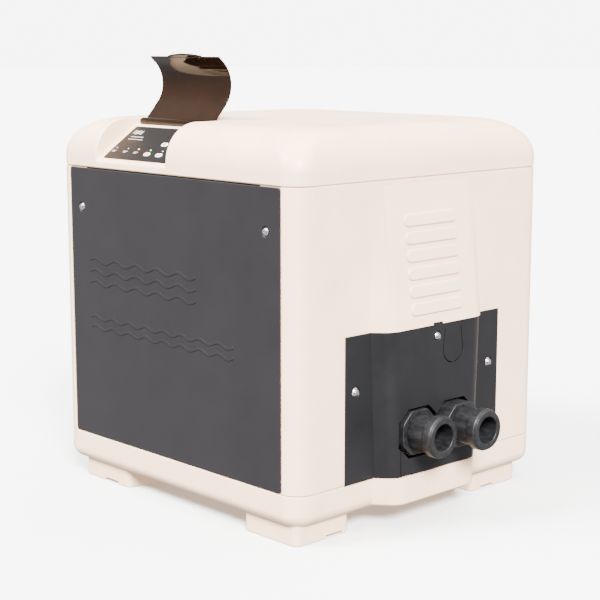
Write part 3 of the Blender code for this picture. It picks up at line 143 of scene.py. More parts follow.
def fitted(bm, joins=(), cuts=(), shell=0.0):
    """The shape with others joined to it and cut from it; shell first gives a bare sheet its thickness."""
    shapes = [("WORK", bm)] + [("UNION", s) for s in joins] + [("DIFFERENCE", s) for s in cuts]
    made = []
    for operation, shape in shapes:
        data = bpy.data.meshes.new("work")
        shape.to_mesh(data)
        shape.free()
        made.append(bpy.data.objects.new("work", data))
        bpy.context.scene.collection.objects.link(made[-1])
        if operation == "WORK" and shell:
            wall = made[0].modifiers.new("wall", "SOLIDIFY")
            wall.thickness, wall.offset, wall.use_even_offset = shell, -1.0, True
        if operation != "WORK":
            step = made[0].modifiers.new("step", "BOOLEAN")
            step.operation, step.solver, step.object = operation, "EXACT", made[-1]
    view = made[0].evaluated_get(bpy.context.evaluated_depsgraph_get())
    result = bmesh.new()
    result.from_mesh(view.to_mesh())
    view.to_mesh_clear()
    for helper in made:
        data = helper.data
        bpy.data.objects.remove(helper)
        bpy.data.meshes.remove(data)
    bmesh.ops.remove_doubles(result, verts=result.verts, dist=2e-6)
    bmesh.ops.dissolve_limit(result, angle_limit=0.002, verts=result.verts, edges=result.edges)
    return result


def put(name, bm, finish, body="cabinet", instead=(), smooth=40.0):
    """A finished piece: placed in the frame, shaded, riding on its body and standing for CAD nodes."""
    moved(bm, Matrix.Translation(CABINET))
    data = bpy.data.meshes.new(name)
    bm.to_mesh(data)
    bm.free()
    data.shade_smooth()
    data.set_sharp_from_angle(angle=math.radians(smooth))
    made = bpy.data.objects.new(name, data)
    bpy.context.scene.collection.objects.link(made)
    data.materials.append(finish)
    even = made.modifiers.new("even_shading", "WEIGHTED_NORMAL")
    even.keep_sharp = True
    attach(made, body)
    if instead:
        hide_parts(*instead)
    return made


def linear(code):
    """A colour from its sRGB hex code, with alpha 1."""
    parts = [int(code[i:i + 2], 16) / 255 for i in (1, 3, 5)]
    return (*[p / 12.92 if p <= 0.04045 else ((p + 0.055) / 1.055) ** 2.4 for p in parts], 1.0)


def add(tree, kind, values=None, links=None, **settings):
    """Adds one node with its settings, its fixed inputs and the sockets that feed it."""
    node = tree.nodes.new(kind)
    for key, value in settings.items():
        setattr(node, key, value)
    for key, value in (values or {}).items():
        node.inputs[key].default_value = value
    for key, socket in (links or {}).items():
        tree.links.new(socket, node.inputs[key])
    return node


def surface(name, dark, light, patch_mm, rough, grain_mm, depth_mm, stretch=(1, 1, 1), spread=0.5,
            rough_spread=0.06, **shader):
    """A real surface: patches between two tones, uneven gloss, and a grain that stands up by depth_mm."""
    made = bpy.data.materials.new(name)
    made.use_nodes = True
    tree = made.node_tree
    principled = tree.nodes["Principled BSDF"]
    place = add(tree, "ShaderNodeTexCoord").outputs["Object"]
    along = add(tree, "ShaderNodeMapping", {"Scale": stretch}, {"Vector": place}).outputs["Vector"]
    patches = add(tree, "ShaderNodeTexNoise", {"Scale": 1000 / patch_mm, "Detail": 5.0, "Roughness": 0.6},
                  {"Vector": along})
    tones = add(tree, "ShaderNodeValToRGB", links={"Fac": patches.outputs["Fac"]})
    low, high = tones.color_ramp.elements
    low.position, high.position = 0.5 - spread / 2, 0.5 + spread / 2
    low.color, high.color = linear(dark), linear(light)
    tree.links.new(tones.outputs["Color"], principled.inputs["Base Color"])
    gloss = add(tree, "ShaderNodeMapRange", {"From Min": 0.3, "From Max": 0.7, "To Min": rough - rough_spread,
                "To Max": rough + rough_spread}, {"Value": patches.outputs["Fac"]})
    tree.links.new(gloss.outputs["Result"], principled.inputs["Roughness"])
    grain = add(tree, "ShaderNodeTexNoise", {"Scale": 1000 / grain_mm, "Detail": 3.0}, {"Vector": along})
    bump = add(tree, "ShaderNodeBump", {"Strength": 1.0, "Distance": depth_mm / 1000},
               {"Height": grain.outputs["Fac"]})
    tree.links.new(bump.outputs["Normal"], principled.inputs["Normal"])
    for socket, value in shader.items():
        principled.inputs[socket.replace("_", " ")].default_value = value
    return made


# ASA structural foam from a spark-eroded mould: cream, matt, with a fine even grain. The real grain is
# about 0.5 mm; it is drawn at 1.6 mm, as coarse as it needs to show.
cream = surface("cream_asa_moulded", "#E6C3A2", "#EFCDAE", 60, 0.40, 1.6, 0.035, rough_spread=0.04)

FOOT_HEIGHT = 0.028
FOOT_TOP, HOLLOW_FLOOR, SLOT_TOP = 0.047, 0.048, 0.0055
TRAY_WALL = 0.005
FEET = {"front_left": (-0.233, -0.120, 0.013, 0.116), "front_right": (0.145, 0.2535, 0.013, 0.116),
        "rear_left": (-0.233, -0.120, 0.380, 0.485), "rear_right": (0.145, 0.2535, 0.380, 0.485)}
CLIP_SLOTS = (((-0.181, 0.010), (-0.148, 0.038)), ((0.228, 0.069), (0.258, 0.101)),
              ((-0.181, 0.460), (-0.148, 0.488)), ((0.228, 0.400), (0.258, 0.431)))
SERVICE_Y = 0.2525
# levels of the bulge on the service side: height, how far it stands out, half-width of face and of foot
BULGE_TOP = (0.4820, 0.0004, 0.0970, 0.0990)
BULGE_MIDDLE = (0.2833, 0.0255, 0.0935, 0.1175)
COVER_MIDDLE = (0.2827, 0.0245, 0.0930, 0.1165)
BULGE_LOW = (BASE_TOP, 0.0285, 0.0815, 0.1060)
BULGE_END = (0.0330, 0.0285, 0.0800, 0.1030)
BULGE_R = 0.015


def soft_corner(before, corner, after, reach, steps=9):
    """Points that round a corner, from `reach` before it to `reach` after it."""
    before, corner, after = Vector(before), Vector(corner), Vector(after)
    start = corner + (before - corner).normalized() * min(reach, 0.9 * (before - corner).length)
    end = corner + (after - corner).normalized() * min(reach, 0.4 * (after - corner).length)
    shares = [i / steps for i in range(steps + 1)]
    return [tuple(start * (1 - t) ** 2 + corner * 2 * t * (1 - t) + end * t ** 2) for t in shares]


def bulge_ring(section, inset, root):
    """One level of the bulge seen from above; root is how far it reaches into the cabinet's wall."""
    height, out, face, foot = section
    slope = min((foot - face) / max(out, 0.001), 1.2)
    face_x, root_x = HALF + out - inset, HALF - root
    face_half, root_half = face - inset * 0.6, foot - inset + slope * root
    near_root, near = (root_x, SERVICE_Y - root_half), (face_x, SERVICE_Y - face_half)
    far, far_root = (face_x, SERVICE_Y + face_half), (root_x, SERVICE_Y + root_half)
    outline = ([near_root] + soft_corner(near_root, near, far, BULGE_R - inset)
               + list(reversed(soft_corner(far_root, far, near, BULGE_R - inset))) + [far_root])
    return [(x, y, height) for x, y in outline]


def bulge(upper, lower, inset=0.0, root=0.006, levels=1):
    """The tapered bulge between two of its levels."""
    rings = []
    for i in range(levels + 1):
        share = i / levels
        rings.append(bulge_ring([a + (b - a) * share for a, b in zip(lower, upper)], inset, root))
    bm = skin(rings)
    bmesh.ops.triangulate(bm, faces=[face for face in bm.faces if len(face.verts) == 4])
    return bm


SEAM_EDGE = 0.0018
tray = block((-HALF, 0, FOOT_HEIGHT), (HALF, DEPTH, BASE_TOP), CORNER_R, 12)
rounded(tray, edges_where(tray, lambda p: p.z < FOOT_HEIGHT + TINY), 0.018, 8)
rounded(tray, edges_where(tray, lambda p: p.z > BASE_TOP - TINY), SEAM_EDGE, 2)
boss = bulge(BULGE_LOW, BULGE_END, root=0.03)
rounded(boss, [e for e in boss.edges if all(v.co.z < BULGE_END[0] + TINY for v in e.verts)
                and any(v.co.x > HALF for v in e.verts)], 0.004, 3)
feet = []
for left, right, near, far in FEET.values():
    foot = block((left, near, 0.0), (right, far, FOOT_TOP), 0.010, 6)
    rounded(foot, edges_where(foot, lambda p: p.z < TINY), 0.002, 3)
    feet.append(foot)
hollow = plate(rounded_rectangle(-HALF + TRAY_WALL, HALF - TRAY_WALL, TRAY_WALL, DEPTH - TRAY_WALL,
                                 CORNER_R - TRAY_WALL, 6), HOLLOW_FLOOR, 0.1)
slots = [block((x0, y0, -0.01), (x1, y1, SLOT_TOP)) for (x0, y0), (x1, y1) in CLIP_SLOTS]
tray = fitted(tray, joins=[boss] + feet, cuts=[hollow] + slots)
put("base_moulding", tray, cream, instead=["base"])

# ---- Side panels ----
# Two cream mouldings, 3 mm thick, that wrap the cabinet's corners and slide into the base and lid.
# Each has a column of pill-shaped louvre bosses; the right one also swells out over the water unions.
PANEL_WALL = 0.003
SHEET = 0.0022
GAP = 0.0003
PANEL_SCREW_X = 0.2077
BACK_SCREW_X = 0.192
SCREW_Z = 0.429
BACK_HALF = 0.2047
COVER_SCREW_HALF = 0.142
COVER_SCREW_Z = 0.204
GAS_X, GAS_Z = -0.190, 0.150
LOUVRES = [0.4325 - i * 0.0247 for i in range(6)]
LOUVRE_LONG, LOUVRE_HIGH, LOUVRE_OUT, LOUVRE_END_R = 0.0555, 0.0090, 0.0026, 0.00895
SEAT = 0.0006
SCREW_HOLE_R = 0.0025
WINDOW_HALF, WINDOW_TOP, WINDOW_IN, WINDOW_OUT = 0.152, 0.2733, 0.008, 0.05


def soften(bm, radius, segments=3, angle=35.0, where=lambda point: True):
    """Rounds every edge sharper than the angle, where both its ends pass the test."""
    sharp = [e for e in bm.edges if len(e.link_faces) == 2 and e.calc_face_angle() > math.radians(angle)
             and all(where(v.co) for v in e.verts)]
    return rounded(bm, sharp, radius, segments)


def turned(profile, centre=(0, 0, 0), axis="Z", steps=64):
    """A closed profile of (radius, height) points spun about an axis through the centre."""
    bm = bmesh.new()
    verts = [bm.verts.new((radius, 0.0, height)) for radius, height in profile]
    open_end = profile[0][0] == 0 and profile[-1][0] == 0
    edges = [bm.edges.new(pair) for pair in zip(verts, verts[1:] + ([] if open_end else verts[:1]))]
    bmesh.ops.spin(bm, geom=verts + edges, cent=(0, 0, 0), axis=(0, 0, 1), angle=math.tau, steps=steps,
                   use_merge=True)
    bmesh.ops.remove_doubles(bm, verts=bm.verts, dist=1e-6)
    turn = {"X": Matrix.Rotation(math.pi / 2, 4, "Y"), "Y": Matrix.Rotation(-math.pi / 2, 4, "X"),
            "Z": Matrix.Identity(4)}[axis]
    moved(bm, Matrix.Translation(centre) @ turn)
    bmesh.ops.recalc_face_normals(bm, faces=bm.faces)
    return bm


def rod(radius, low, high, centre=(0, 0, 0), axis="Z", steps=48):
    """A round bar between two heights on an axis."""
    return turned([(0, low), (radius, low), (radius, high), (0, high)], centre, axis, steps)


def louvre(side, height, out, lean):
    """A pill-shaped boss with a pillowed face, standing on the panel and leaning with it."""
    boss = block((-0.0015, -LOUVRE_LONG, -LOUVRE_HIGH), (LOUVRE_OUT, LOUVRE_LONG, LOUVRE_HIGH), LOUVRE_END_R,
                 10, "X")
    rounded(boss, edges_where(boss, lambda p: p.x > LOUVRE_OUT - 0.0001), 0.0024, 5)
    if side < 0:
        moved(boss, Matrix.Rotation(math.pi, 4, "Z"))
    stand = Matrix.Translation((side * (HALF + out), SERVICE_Y, height))
    return moved(boss, stand @ Matrix.Rotation(-lean, 4, "Y"))


def side_shell(side):
    """The bare wall of one side panel, wrapped round both corners."""
    inner = HALF - CORNER_R
    path = (arc((inner, CORNER_R), CORNER_R, -86, 0, 14) + arc((inner, DEPTH - CORNER_R), CORNER_R, 0, 90, 14)
            + [(BACK_HALF + 0.0006, DEPTH)])
    bm = bmesh.new()
    verts = [bm.verts.new((side * x, y, BASE_TOP + SEAT)) for x, y in path]
    edges = [bm.edges.new(pair) for pair in zip(verts, verts[1:])]
    raised = bmesh.ops.extrude_edge_only(bm, edges=edges)["geom"]
    bmesh.ops.translate(bm, vec=(0, 0, SEAM_Z - GAP - BASE_TOP - SEAT),
                        verts=[v for v in raised if isinstance(v, bmesh.types.BMVert)])
    bmesh.ops.recalc_face_normals(bm, faces=bm.faces)
    if sum(face.normal.x * side * face.calc_area() for face in bm.faces) < 0:
        bmesh.ops.reverse_faces(bm, faces=bm.faces)
    return bm


def outside(point):
    """True on the cabinet's outer face, its rounded corners included."""
    across = max(abs(point.x) - (HALF - CORNER_R), 0.0)
    along = max(CORNER_R - point.y, point.y - (DEPTH - CORNER_R), 0.0)
    return math.hypot(across, along) > CORNER_R - 0.0004


def seam_edges(bm):
    """Breaks the panel's upper and lower outer edges, which makes the seams' shadow lines."""
    high, low = SEAM_Z - GAP - TINY, BASE_TOP + 0.0007
    soften(bm, SEAM_EDGE, 2, 60.0, lambda p: (p.z > high or p.z < low) and outside(p))


def flanges(side):
    """The two lips behind the sheet panels that their screws bite into, and the screw holes."""
    lips, holes = [], []
    for near, screw_x in ((SHEET + GAP, PANEL_SCREW_X), (DEPTH - SHEET - GAP - PANEL_WALL, BACK_SCREW_X)):
        x0, x1 = sorted((side * (screw_x - 0.012), side * (HALF - 0.022)))
        lips.append(block((x0, near, BASE_TOP + SEAT), (x1, near + PANEL_WALL, SEAM_Z - GAP)))
        holes.append(rod(SCREW_HOLE_R, near - 0.004, near + 0.008, (side * screw_x, 0, SCREW_Z), "Y", 16))
    return lips, holes


def level_at(height):
    """The bulge's level at a height between its top and its middle."""
    share = (BULGE_TOP[0] - height) / (BULGE_TOP[0] - BULGE_MIDDLE[0])
    return [a + (b - a) * share for a, b in zip(BULGE_TOP, BULGE_MIDDLE)]


lean = math.atan2(BULGE_MIDDLE[1] - BULGE_TOP[1], BULGE_TOP[0] - BULGE_MIDDLE[0])
lips, holes = flanges(1)
pads = [block((HALF - PANEL_WALL - 0.0005, y - 0.014, 0.185), (HALF - GAP, y + 0.014, 0.223))
        for y in (SERVICE_Y - COVER_SCREW_HALF, SERVICE_Y + COVER_SCREW_HALF)]
pad_holes = [rod(SCREW_HOLE_R, -0.01, 0.01, (HALF, y, COVER_SCREW_Z), "X", 16)
             for y in (SERVICE_Y - COVER_SCREW_HALF, SERVICE_Y + COVER_SCREW_HALF)]
swell = bulge(BULGE_TOP, BULGE_MIDDLE)
inside = bulge(level_at(BULGE_TOP[0] - 0.030), level_at(BULGE_MIDDLE[0] - 0.008), inset=PANEL_WALL,
               root=0.008)
window = block((HALF - WINDOW_IN, SERVICE_Y - WINDOW_HALF, 0.05),
               (HALF + WINDOW_OUT, SERVICE_Y + WINDOW_HALF, WINDOW_TOP))
low_edge = block((HALF - WINDOW_IN, SERVICE_Y - 0.1165, 0.26),
                 (HALF + WINDOW_OUT, SERVICE_Y + 0.1165, BULGE_MIDDLE[0]))
tab_way = block((HALF, SERVICE_Y - 0.0105, 0.27), (HALF + WINDOW_OUT, SERVICE_Y + 0.0105, 0.2864))
right = fitted(side_shell(1), joins=lips + [swell], cuts=[inside, window, low_edge, tab_way],
               shell=PANEL_WALL)
seam_edges(right)
right = fitted(right, joins=pads + [louvre(1, z, level_at(z)[1], lean) for z in LOUVRES],
               cuts=holes + pad_holes)
put("right_panel_moulding", right, cream, instead=["right_side_panel"])

lips, holes = flanges(-1)
gas_way = rod(0.0200, DEPTH - 0.03, DEPTH - SHEET - 0.0001, (GAS_X, 0, GAS_Z), "Y", 32)
left = fitted(side_shell(-1), joins=lips, cuts=holes + [gas_way], shell=PANEL_WALL)
seam_edges(left)
left = fitted(left, joins=[louvre(-1, z, 0.0, 0.0) for z in LOUVRES])
put("left_panel_moulding", left, cream, instead=["left_side_panel"])

# ---- Sheet panels ----
# The front and back doors: 2.2 mm steel sheet with rolled edges and dished screw seats, powder coated
# charcoal. The front one is pressed with low water ripples; the back one has air slots and pipe holes.
# Polyester powder coat: charcoal, satin, with a faint orange peel about 2 mm across.
powder_coat = surface("powder_coated_steel", "#1C1A1C", "#1F1D1F", 90, 0.42, 2.2, 0.02, rough_spread=0.05,
                      Specular_IOR_Level=0.15)
PANEL_HALF, PANEL_LOW, PANEL_HIGH = 0.2354, 0.0750, 0.4885
DIMPLE_DEPTH = 0.0022
SEAT_R, MOUTH_R = 0.0058, 0.0084


def facing(axis, sign, spot):
    """Turns a shape made about +Z to face along an axis and stands it at a spot."""
    turn = Vector((0, 0, 1)).rotation_difference(ALONG[axis] * sign).to_matrix().to_4x4()
    return Matrix.Translation(spot) @ turn


def dimple(axis, sign, spot):
    """The dished seat of a screw, with its clearance hole."""
    curve = [(SEAT_R + 0.0026 * t, -DIMPLE_DEPTH * (1 - t) ** 1.6) for t in (0.0, 0.25, 0.5, 0.75, 1.0)]
    hole = [(0, -0.01), (0.0026, -0.01), (0.0026, -DIMPLE_DEPTH)]
    profile = hole + curve + [(MOUTH_R, 0.004), (0, 0.004)]
    return moved(turned(profile, steps=36), facing(axis, sign, spot))


def wave(left, right, height, swing, waves, steps):
    """Points along a wave, from left to right at a height."""
    return [(left + (right - left) * i / steps, height + swing * math.sin(math.tau * waves * i / steps))
            for i in range(steps + 1)]


def ripple(left, right, height, swing, waves, wide=0.0042):
    """A raised wavy rib on the front panel."""
    line = wave(left, right, height, swing, waves, waves * 16)
    upper = [(x, z + wide / 2) for x, z in line]
    lower = [(x, z - wide / 2) for x, z in reversed(line)]
    start, end = arc(line[0], wide / 2, 90, 270, 6)[1:-1], arc(line[-1], wide / 2, -90, 90, 6)[1:-1]
    outline = upper[::-1] + start + lower[::-1] + end
    bm = plate(outline, -0.0009, 0.0008, "Y")
    return rounded(bm, edges_where(bm, lambda p: p.y < -0.0008), 0.0007, 2)


front = block((-PANEL_HALF, 0, PANEL_LOW), (PANEL_HALF, SHEET, PANEL_HIGH), 0.003, 5, "Y")
rounded(front, edges_where(front, lambda p: p.y < TINY), 0.0014, 4)
ripples = [ripple(-0.188, 0.060, 0.350 - row * 0.017, 0.0035, 5) for row in range(3)]
ripples += [ripple(-0.188, 0.140, 0.262 - row * 0.015, 0.0028, 8) for row in range(2)]
front_screws = [(side * PANEL_SCREW_X, 0, SCREW_Z) for side in (-1, 1)]
front = fitted(front, joins=ripples, cuts=[dimple("Y", -1, spot) for spot in front_screws])
put("front_sheet", front, powder_coat, instead=["front_panel"])

FLUE_X, FLUE_Z, FLUE_R = -0.015, 0.112, 0.038
back = block((-BACK_HALF, DEPTH - SHEET, PANEL_LOW), (BACK_HALF, DEPTH, PANEL_HIGH), 0.003, 5, "Y")
rounded(back, edges_where(back, lambda p: p.y > DEPTH - TINY), 0.0014, 4)
back_screws = [(side * BACK_SCREW_X, DEPTH, SCREW_Z) for side in (-1, 1)]
holes = [dimple("Y", 1, spot) for spot in back_screws]
holes.append(rod(FLUE_R + 0.004, DEPTH - 0.02, DEPTH + 0.02, (FLUE_X, 0, FLUE_Z), "Y"))
holes.append(rod(0.017, DEPTH - 0.02, DEPTH + 0.02, (GAS_X, 0, GAS_Z), "Y"))
holes += [block((x - 0.045, DEPTH - 0.01, z - 0.004), (x + 0.045, DEPTH + 0.01, z + 0.004), 0.0039, 6, "Y")
          for x in (-0.105, 0.105) for z in [0.300 + row * 0.022 for row in range(6)]]
back = fitted(back, cuts=holes)
put("back_sheet", back, powder_coat, instead=["back_panel"])

# ---- Lid ----
# The cream moulding that caps the cabinet: big soft edges, and a sloped recess at the front left for the
# keypad. It drops over the side panels; its rim makes the shadow line that runs round the heater.
LID_WALL = 0.004
LID_EDGE_R = 0.056
LID_TOP = lid_high.z
RECESS = (-0.1685, -0.0030)
SHELF_Z = 0.5520
RECESS_BACK = 0.1030
CORNER_GROWTH = 0.55
PIN_WAY_R = 0.0023
joints = {joint["name"]: joint for joint in frame["joints"]}
press = Vector(joints["pool_press"]["axis"])
SLOPE = math.atan2(press.y, -press.z)
first_key = Vector(joints["pool_press"]["pos_m"]) - CABINET
FLOOR_Z = first_key.z - first_key.y * math.tan(SLOPE)
HINGE = Vector(joints["keypad_cover_hinge"]["pos_m"]) - CABINET


def lid_body(wall, bottom, arc_steps, corner_steps):
    """The lid's outer body, or its hollow when a wall is given."""
    edge_r = LID_EDGE_R - wall
    spring = LID_TOP - LID_EDGE_R
    levels = [(bottom, SEAM_EDGE), (bottom + SEAM_EDGE, 0.0)]
    for i in range(arc_steps + 1):
        turn = math.radians(90 * i / arc_steps)
        levels.append((spring + edge_r * math.sin(turn), edge_r * (1 - math.cos(turn))))
    return skin([[(x, y, height) for x, y in
                  rounded_rectangle(-HALF + wall + inset, HALF - wall - inset, wall + inset,
                                    DEPTH - wall - inset, CORNER_R - wall + inset * CORNER_GROWTH,
                                    corner_steps)]
                 for height, inset in levels])


def recess_side(drop):
    """Side view of the recess, lowered by drop for the wall beneath it."""
    run = (SHELF_Z - FLOOR_Z) / math.tan(SLOPE)
    lift = drop * math.tan(SLOPE)
    return [(-0.02, FLOOR_Z - 0.02 * math.tan(SLOPE) - drop * 1.2), (run + lift, SHELF_Z - drop),
            (RECESS_BACK + drop, SHELF_Z - drop), (RECESS_BACK + drop, LID_TOP + 0.01),
            (-0.02, LID_TOP + 0.01)]


plane = Matrix.Translation((0, 0, FLOOR_Z)) @ Matrix.Rotation(SLOPE, 4, "X")
pocket = plate(recess_side(LID_WALL), RECESS[0] - LID_WALL, RECESS[1] + LID_WALL, "X")
hollow = fitted(lid_body(LID_WALL, SEAM_Z - 0.01, 7, 5), cuts=[pocket])
lid = fitted(lid_body(0.0, SEAM_Z, 18, 14), cuts=[plate(recess_side(0.0), *RECESS, "X")])


def on_rim(point):
    """True for the recess's edges and false for the lid's own bottom rim."""
    return point.z > SEAM_Z + 0.004


soften(lid, 0.0030, 4, 28.0, on_rim)
pin_way = rod(PIN_WAY_R, RECESS[0] - 0.003, RECESS[1] + 0.003, (0, HINGE.y, HINGE.z), "X", 20)
keypad_way = moved(block((-0.1545, 0.0150, -0.02), (-0.0165, 0.0820, 0.02), 0.004, 4), plane)
lid = fitted(lid, cuts=[hollow, pin_way, keypad_way])
put("lid_moulding", lid, cream, instead=["top_cover"])

# ---- Service cover ----
# The charcoal cover over the plumbing: thermoformed to the same bulge, held by three screws, with two
# cut-outs for the unions, a horseshoe knock-out for the conduit and a strip that breaks out.
# Charcoal ABS, vacuum formed over a grained tool: satin, with a soft leather-like grain.
charcoal_abs = surface("charcoal_abs_formed", "#131214", "#171618", 50, 0.42, 1.8, 0.02, rough_spread=0.05,
                       Specular_IOR_Level=0.15)
COVER_HALF, COVER_LOW, COVER_TOP = 0.162, 0.0745, 0.2827
COVER_WALL = 0.002
COVER_FACE = HALF + GAP + COVER_WALL
TOP_SCREW_Z = 0.2665
UNION_Z = 0.1345
UNION_Y = {"inlet": 0.2120, "outlet": 0.2880}
CUT_FROM, CUT_TO = HALF + 0.015, HALF + 0.05


def octagon(half_wide, half_high, flat_wide, flat_high, centre):
    """An eight-sided outline, with the half-lengths of its two kinds of flat."""
    corner = [(half_wide, flat_high), (flat_wide, half_high)]
    half = [(u, -v) for u, v in reversed(corner)] + corner
    return [(u + centre[0], v + centre[1]) for u, v in half + [(-u, -v) for u, v in half]]


def knock_out(side):
    """Half of the horseshoe slit round the conduit knock-out."""
    edges = []
    for radius in (0.0217, 0.0203):
        edges.append(arc((0, 0), radius, -86, 5, 14) + [(radius - 0.0042, 0.0300)])
    return [(side * u + 0.2850, v + 0.2450) for u, v in edges[0] + edges[1][::-1]]


top_out = HALF + COVER_MIDDLE[1]
share = (COVER_MIDDLE[0] - TOP_SCREW_Z) / (COVER_MIDDLE[0] - BULGE_LOW[0])
screw_out = top_out + (BULGE_LOW[1] - COVER_MIDDLE[1]) * share
cover_screws = [(COVER_FACE, SERVICE_Y - COVER_SCREW_HALF, COVER_SCREW_Z),
                (COVER_FACE, SERVICE_Y + COVER_SCREW_HALF, COVER_SCREW_Z),
                (screw_out, SERVICE_Y, TOP_SCREW_Z)]
sheet = block((HALF + GAP, SERVICE_Y - COVER_HALF, COVER_LOW),
              (COVER_FACE, SERVICE_Y + COVER_HALF, COVER_TOP))
rounded(sheet, edges_where(sheet, lambda p: p.x > COVER_FACE - TINY), 0.0009, 3)
raised = bulge(COVER_MIDDLE, (COVER_LOW, *BULGE_LOW[1:]), root=-GAP)
rounded(raised, [e for e in raised.edges if all(v.co.x > COVER_FACE + 0.002 for v in e.verts)
                 and abs(e.verts[0].co.z - e.verts[1].co.z) < TINY], 0.0012, 3)
within = bulge((COVER_TOP + 0.004, *COVER_MIDDLE[1:]), (COVER_LOW - 0.004, *BULGE_LOW[1:]),
               inset=COVER_WALL, root=0.004)
tab = block((top_out - COVER_WALL, SERVICE_Y - 0.010, COVER_TOP - 0.003),
            (top_out, SERVICE_Y + 0.010, COVER_TOP + 0.0032), 0.003, 3, "X")
sheet = fitted(sheet, joins=[raised, tab], cuts=[within])
cuts = [dimple("X", 1, spot) for spot in cover_screws]
cuts += [plate(octagon(0.0400, 0.0355, 0.0210, 0.0180, (y, UNION_Z)), HALF + 0.01, CUT_TO, "X")
         for y in UNION_Y.values()]
cuts += [plate(knock_out(side), CUT_FROM, CUT_TO, "X") for side in (-1, 1)]
slits = ((0.1749, 0.06, 0.120), (0.3250, 0.0790, 0.0900), (0.3250, 0.0930, 0.1040), (0.3250, 0.1070, 0.1200))
cuts += [block((CUT_FROM, y, low), (CUT_TO, y + 0.0012, high)) for y, low, high in slits]
cuts.append(block((CUT_FROM, 0.1770, 0.06), (CUT_TO, 0.1970, 0.0772)))
put("service_cover_forming", fitted(sheet, cuts=cuts), charcoal_abs,
    instead=["service_cover"])

# ---- Screws ----
# Self-tapping screws with a hex head, a washer face and a cross recess, bright zinc plated. They hold
# the sheet panels and the service cover in their dished seats.
# Bright zinc plate on steel: a clean metal shine, clouded in patches about 3 mm across.
zinc = surface("zinc_plated_steel", "#B9BCC0", "#D8DADC", 3, 0.28, 1.2, 0.01, spread=0.7, Metallic=1.0)
HEX_R, HEX_TALL, HEX_MIDDLE, HEX_TOP = 0.0041, 0.0028, 0.0023, 0.0037
SLOT_LONG, SLOT_HALF, SLOT_FLOOR = 0.0024, 0.0006, 0.0020


def screw(name, node, axis, sign, spot):
    """One screw, seated in its dimple."""
    washer = turned([(0, -0.0140), (0.0021, -0.0140), (0.0021, 0), (0.0050, 0), (0.0052, 0.0003),
                     (0.0052, 0.0008), (0.0049, 0.0011), (0, 0.0012)], steps=40)
    head = bmesh.new()
    bmesh.ops.create_cone(head, cap_ends=True, segments=6, radius1=HEX_R, radius2=HEX_R, depth=HEX_TALL)
    bmesh.ops.translate(head, vec=(0, 0, HEX_MIDDLE), verts=head.verts)
    rounded(head, edges_where(head, lambda p: p.z > HEX_TOP - 0.0001), 0.0006, 3)
    rounded(head, [e for e in head.edges if abs(e.verts[0].co.z - e.verts[1].co.z) > 0.001], 0.0002, 2)
    slots = [block((-SLOT_LONG, -SLOT_HALF, SLOT_FLOOR), (SLOT_LONG, SLOT_HALF, 0.006)),
             block((-SLOT_HALF, -SLOT_LONG, SLOT_FLOOR), (SLOT_HALF, SLOT_LONG, 0.006))]
    bm = fitted(washer, joins=[head], cuts=slots)
    sunk = Vector(spot) - ALONG[axis] * sign * (DIMPLE_DEPTH - GAP)
    put(name, moved(bm, facing(axis, sign, sunk)), zinc, instead=[node])


for spot, word in zip(front_screws, ("left", "right")):
    screw(f"front_{word}_screw", f"front_screw_{word}", "Y", -1, spot)
for spot, word in zip(back_screws, ("left", "right")):
    screw(f"back_{word}_screw", f"back_screw_{word}", "Y", 1, spot)
for spot, word in zip(cover_screws, ("front", "rear", "top")):
    screw(f"cover_{word}_screw", f"cover_screw_{word}", "X", 1, spot)

# ---- Water unions ----
# Where the pool's pipes join: an eight-sided port on the manifold, a lobed nut that is tightened by hand,
# and a threaded tailpiece with a heavy collar. All are injection moulded.
# Nylon 66 with 30% glass fibre: black, with grey swirls where the fibres come to the surface.
glass_nylon = surface("glass_filled_nylon", "#0A0A0B", "#1D1D1F", 7, 0.44, 1.4, 0.04, stretch=(0.5, 1.6, 1.0),
                      spread=0.45, rough_spread=0.08, Specular_IOR_Level=0.25)
PORT_END = {"inlet": 0.2965, "outlet": 0.3125}
NUT_LENGTH = 0.0285
BORE_R, TAIL_R, COLLAR_R = 0.0194, 0.0220, 0.0300


def lobed_ring(radius, depth, centre, x, lobes=8, steps=96):
    """One level of the scalloped nut."""
    points = []
    for i in range(steps):
        angle = math.tau * i / steps
        reach = radius + depth * math.cos(lobes * angle)
        points.append((x, centre + reach * math.cos(angle), UNION_Z + reach * math.sin(angle)))
    return points


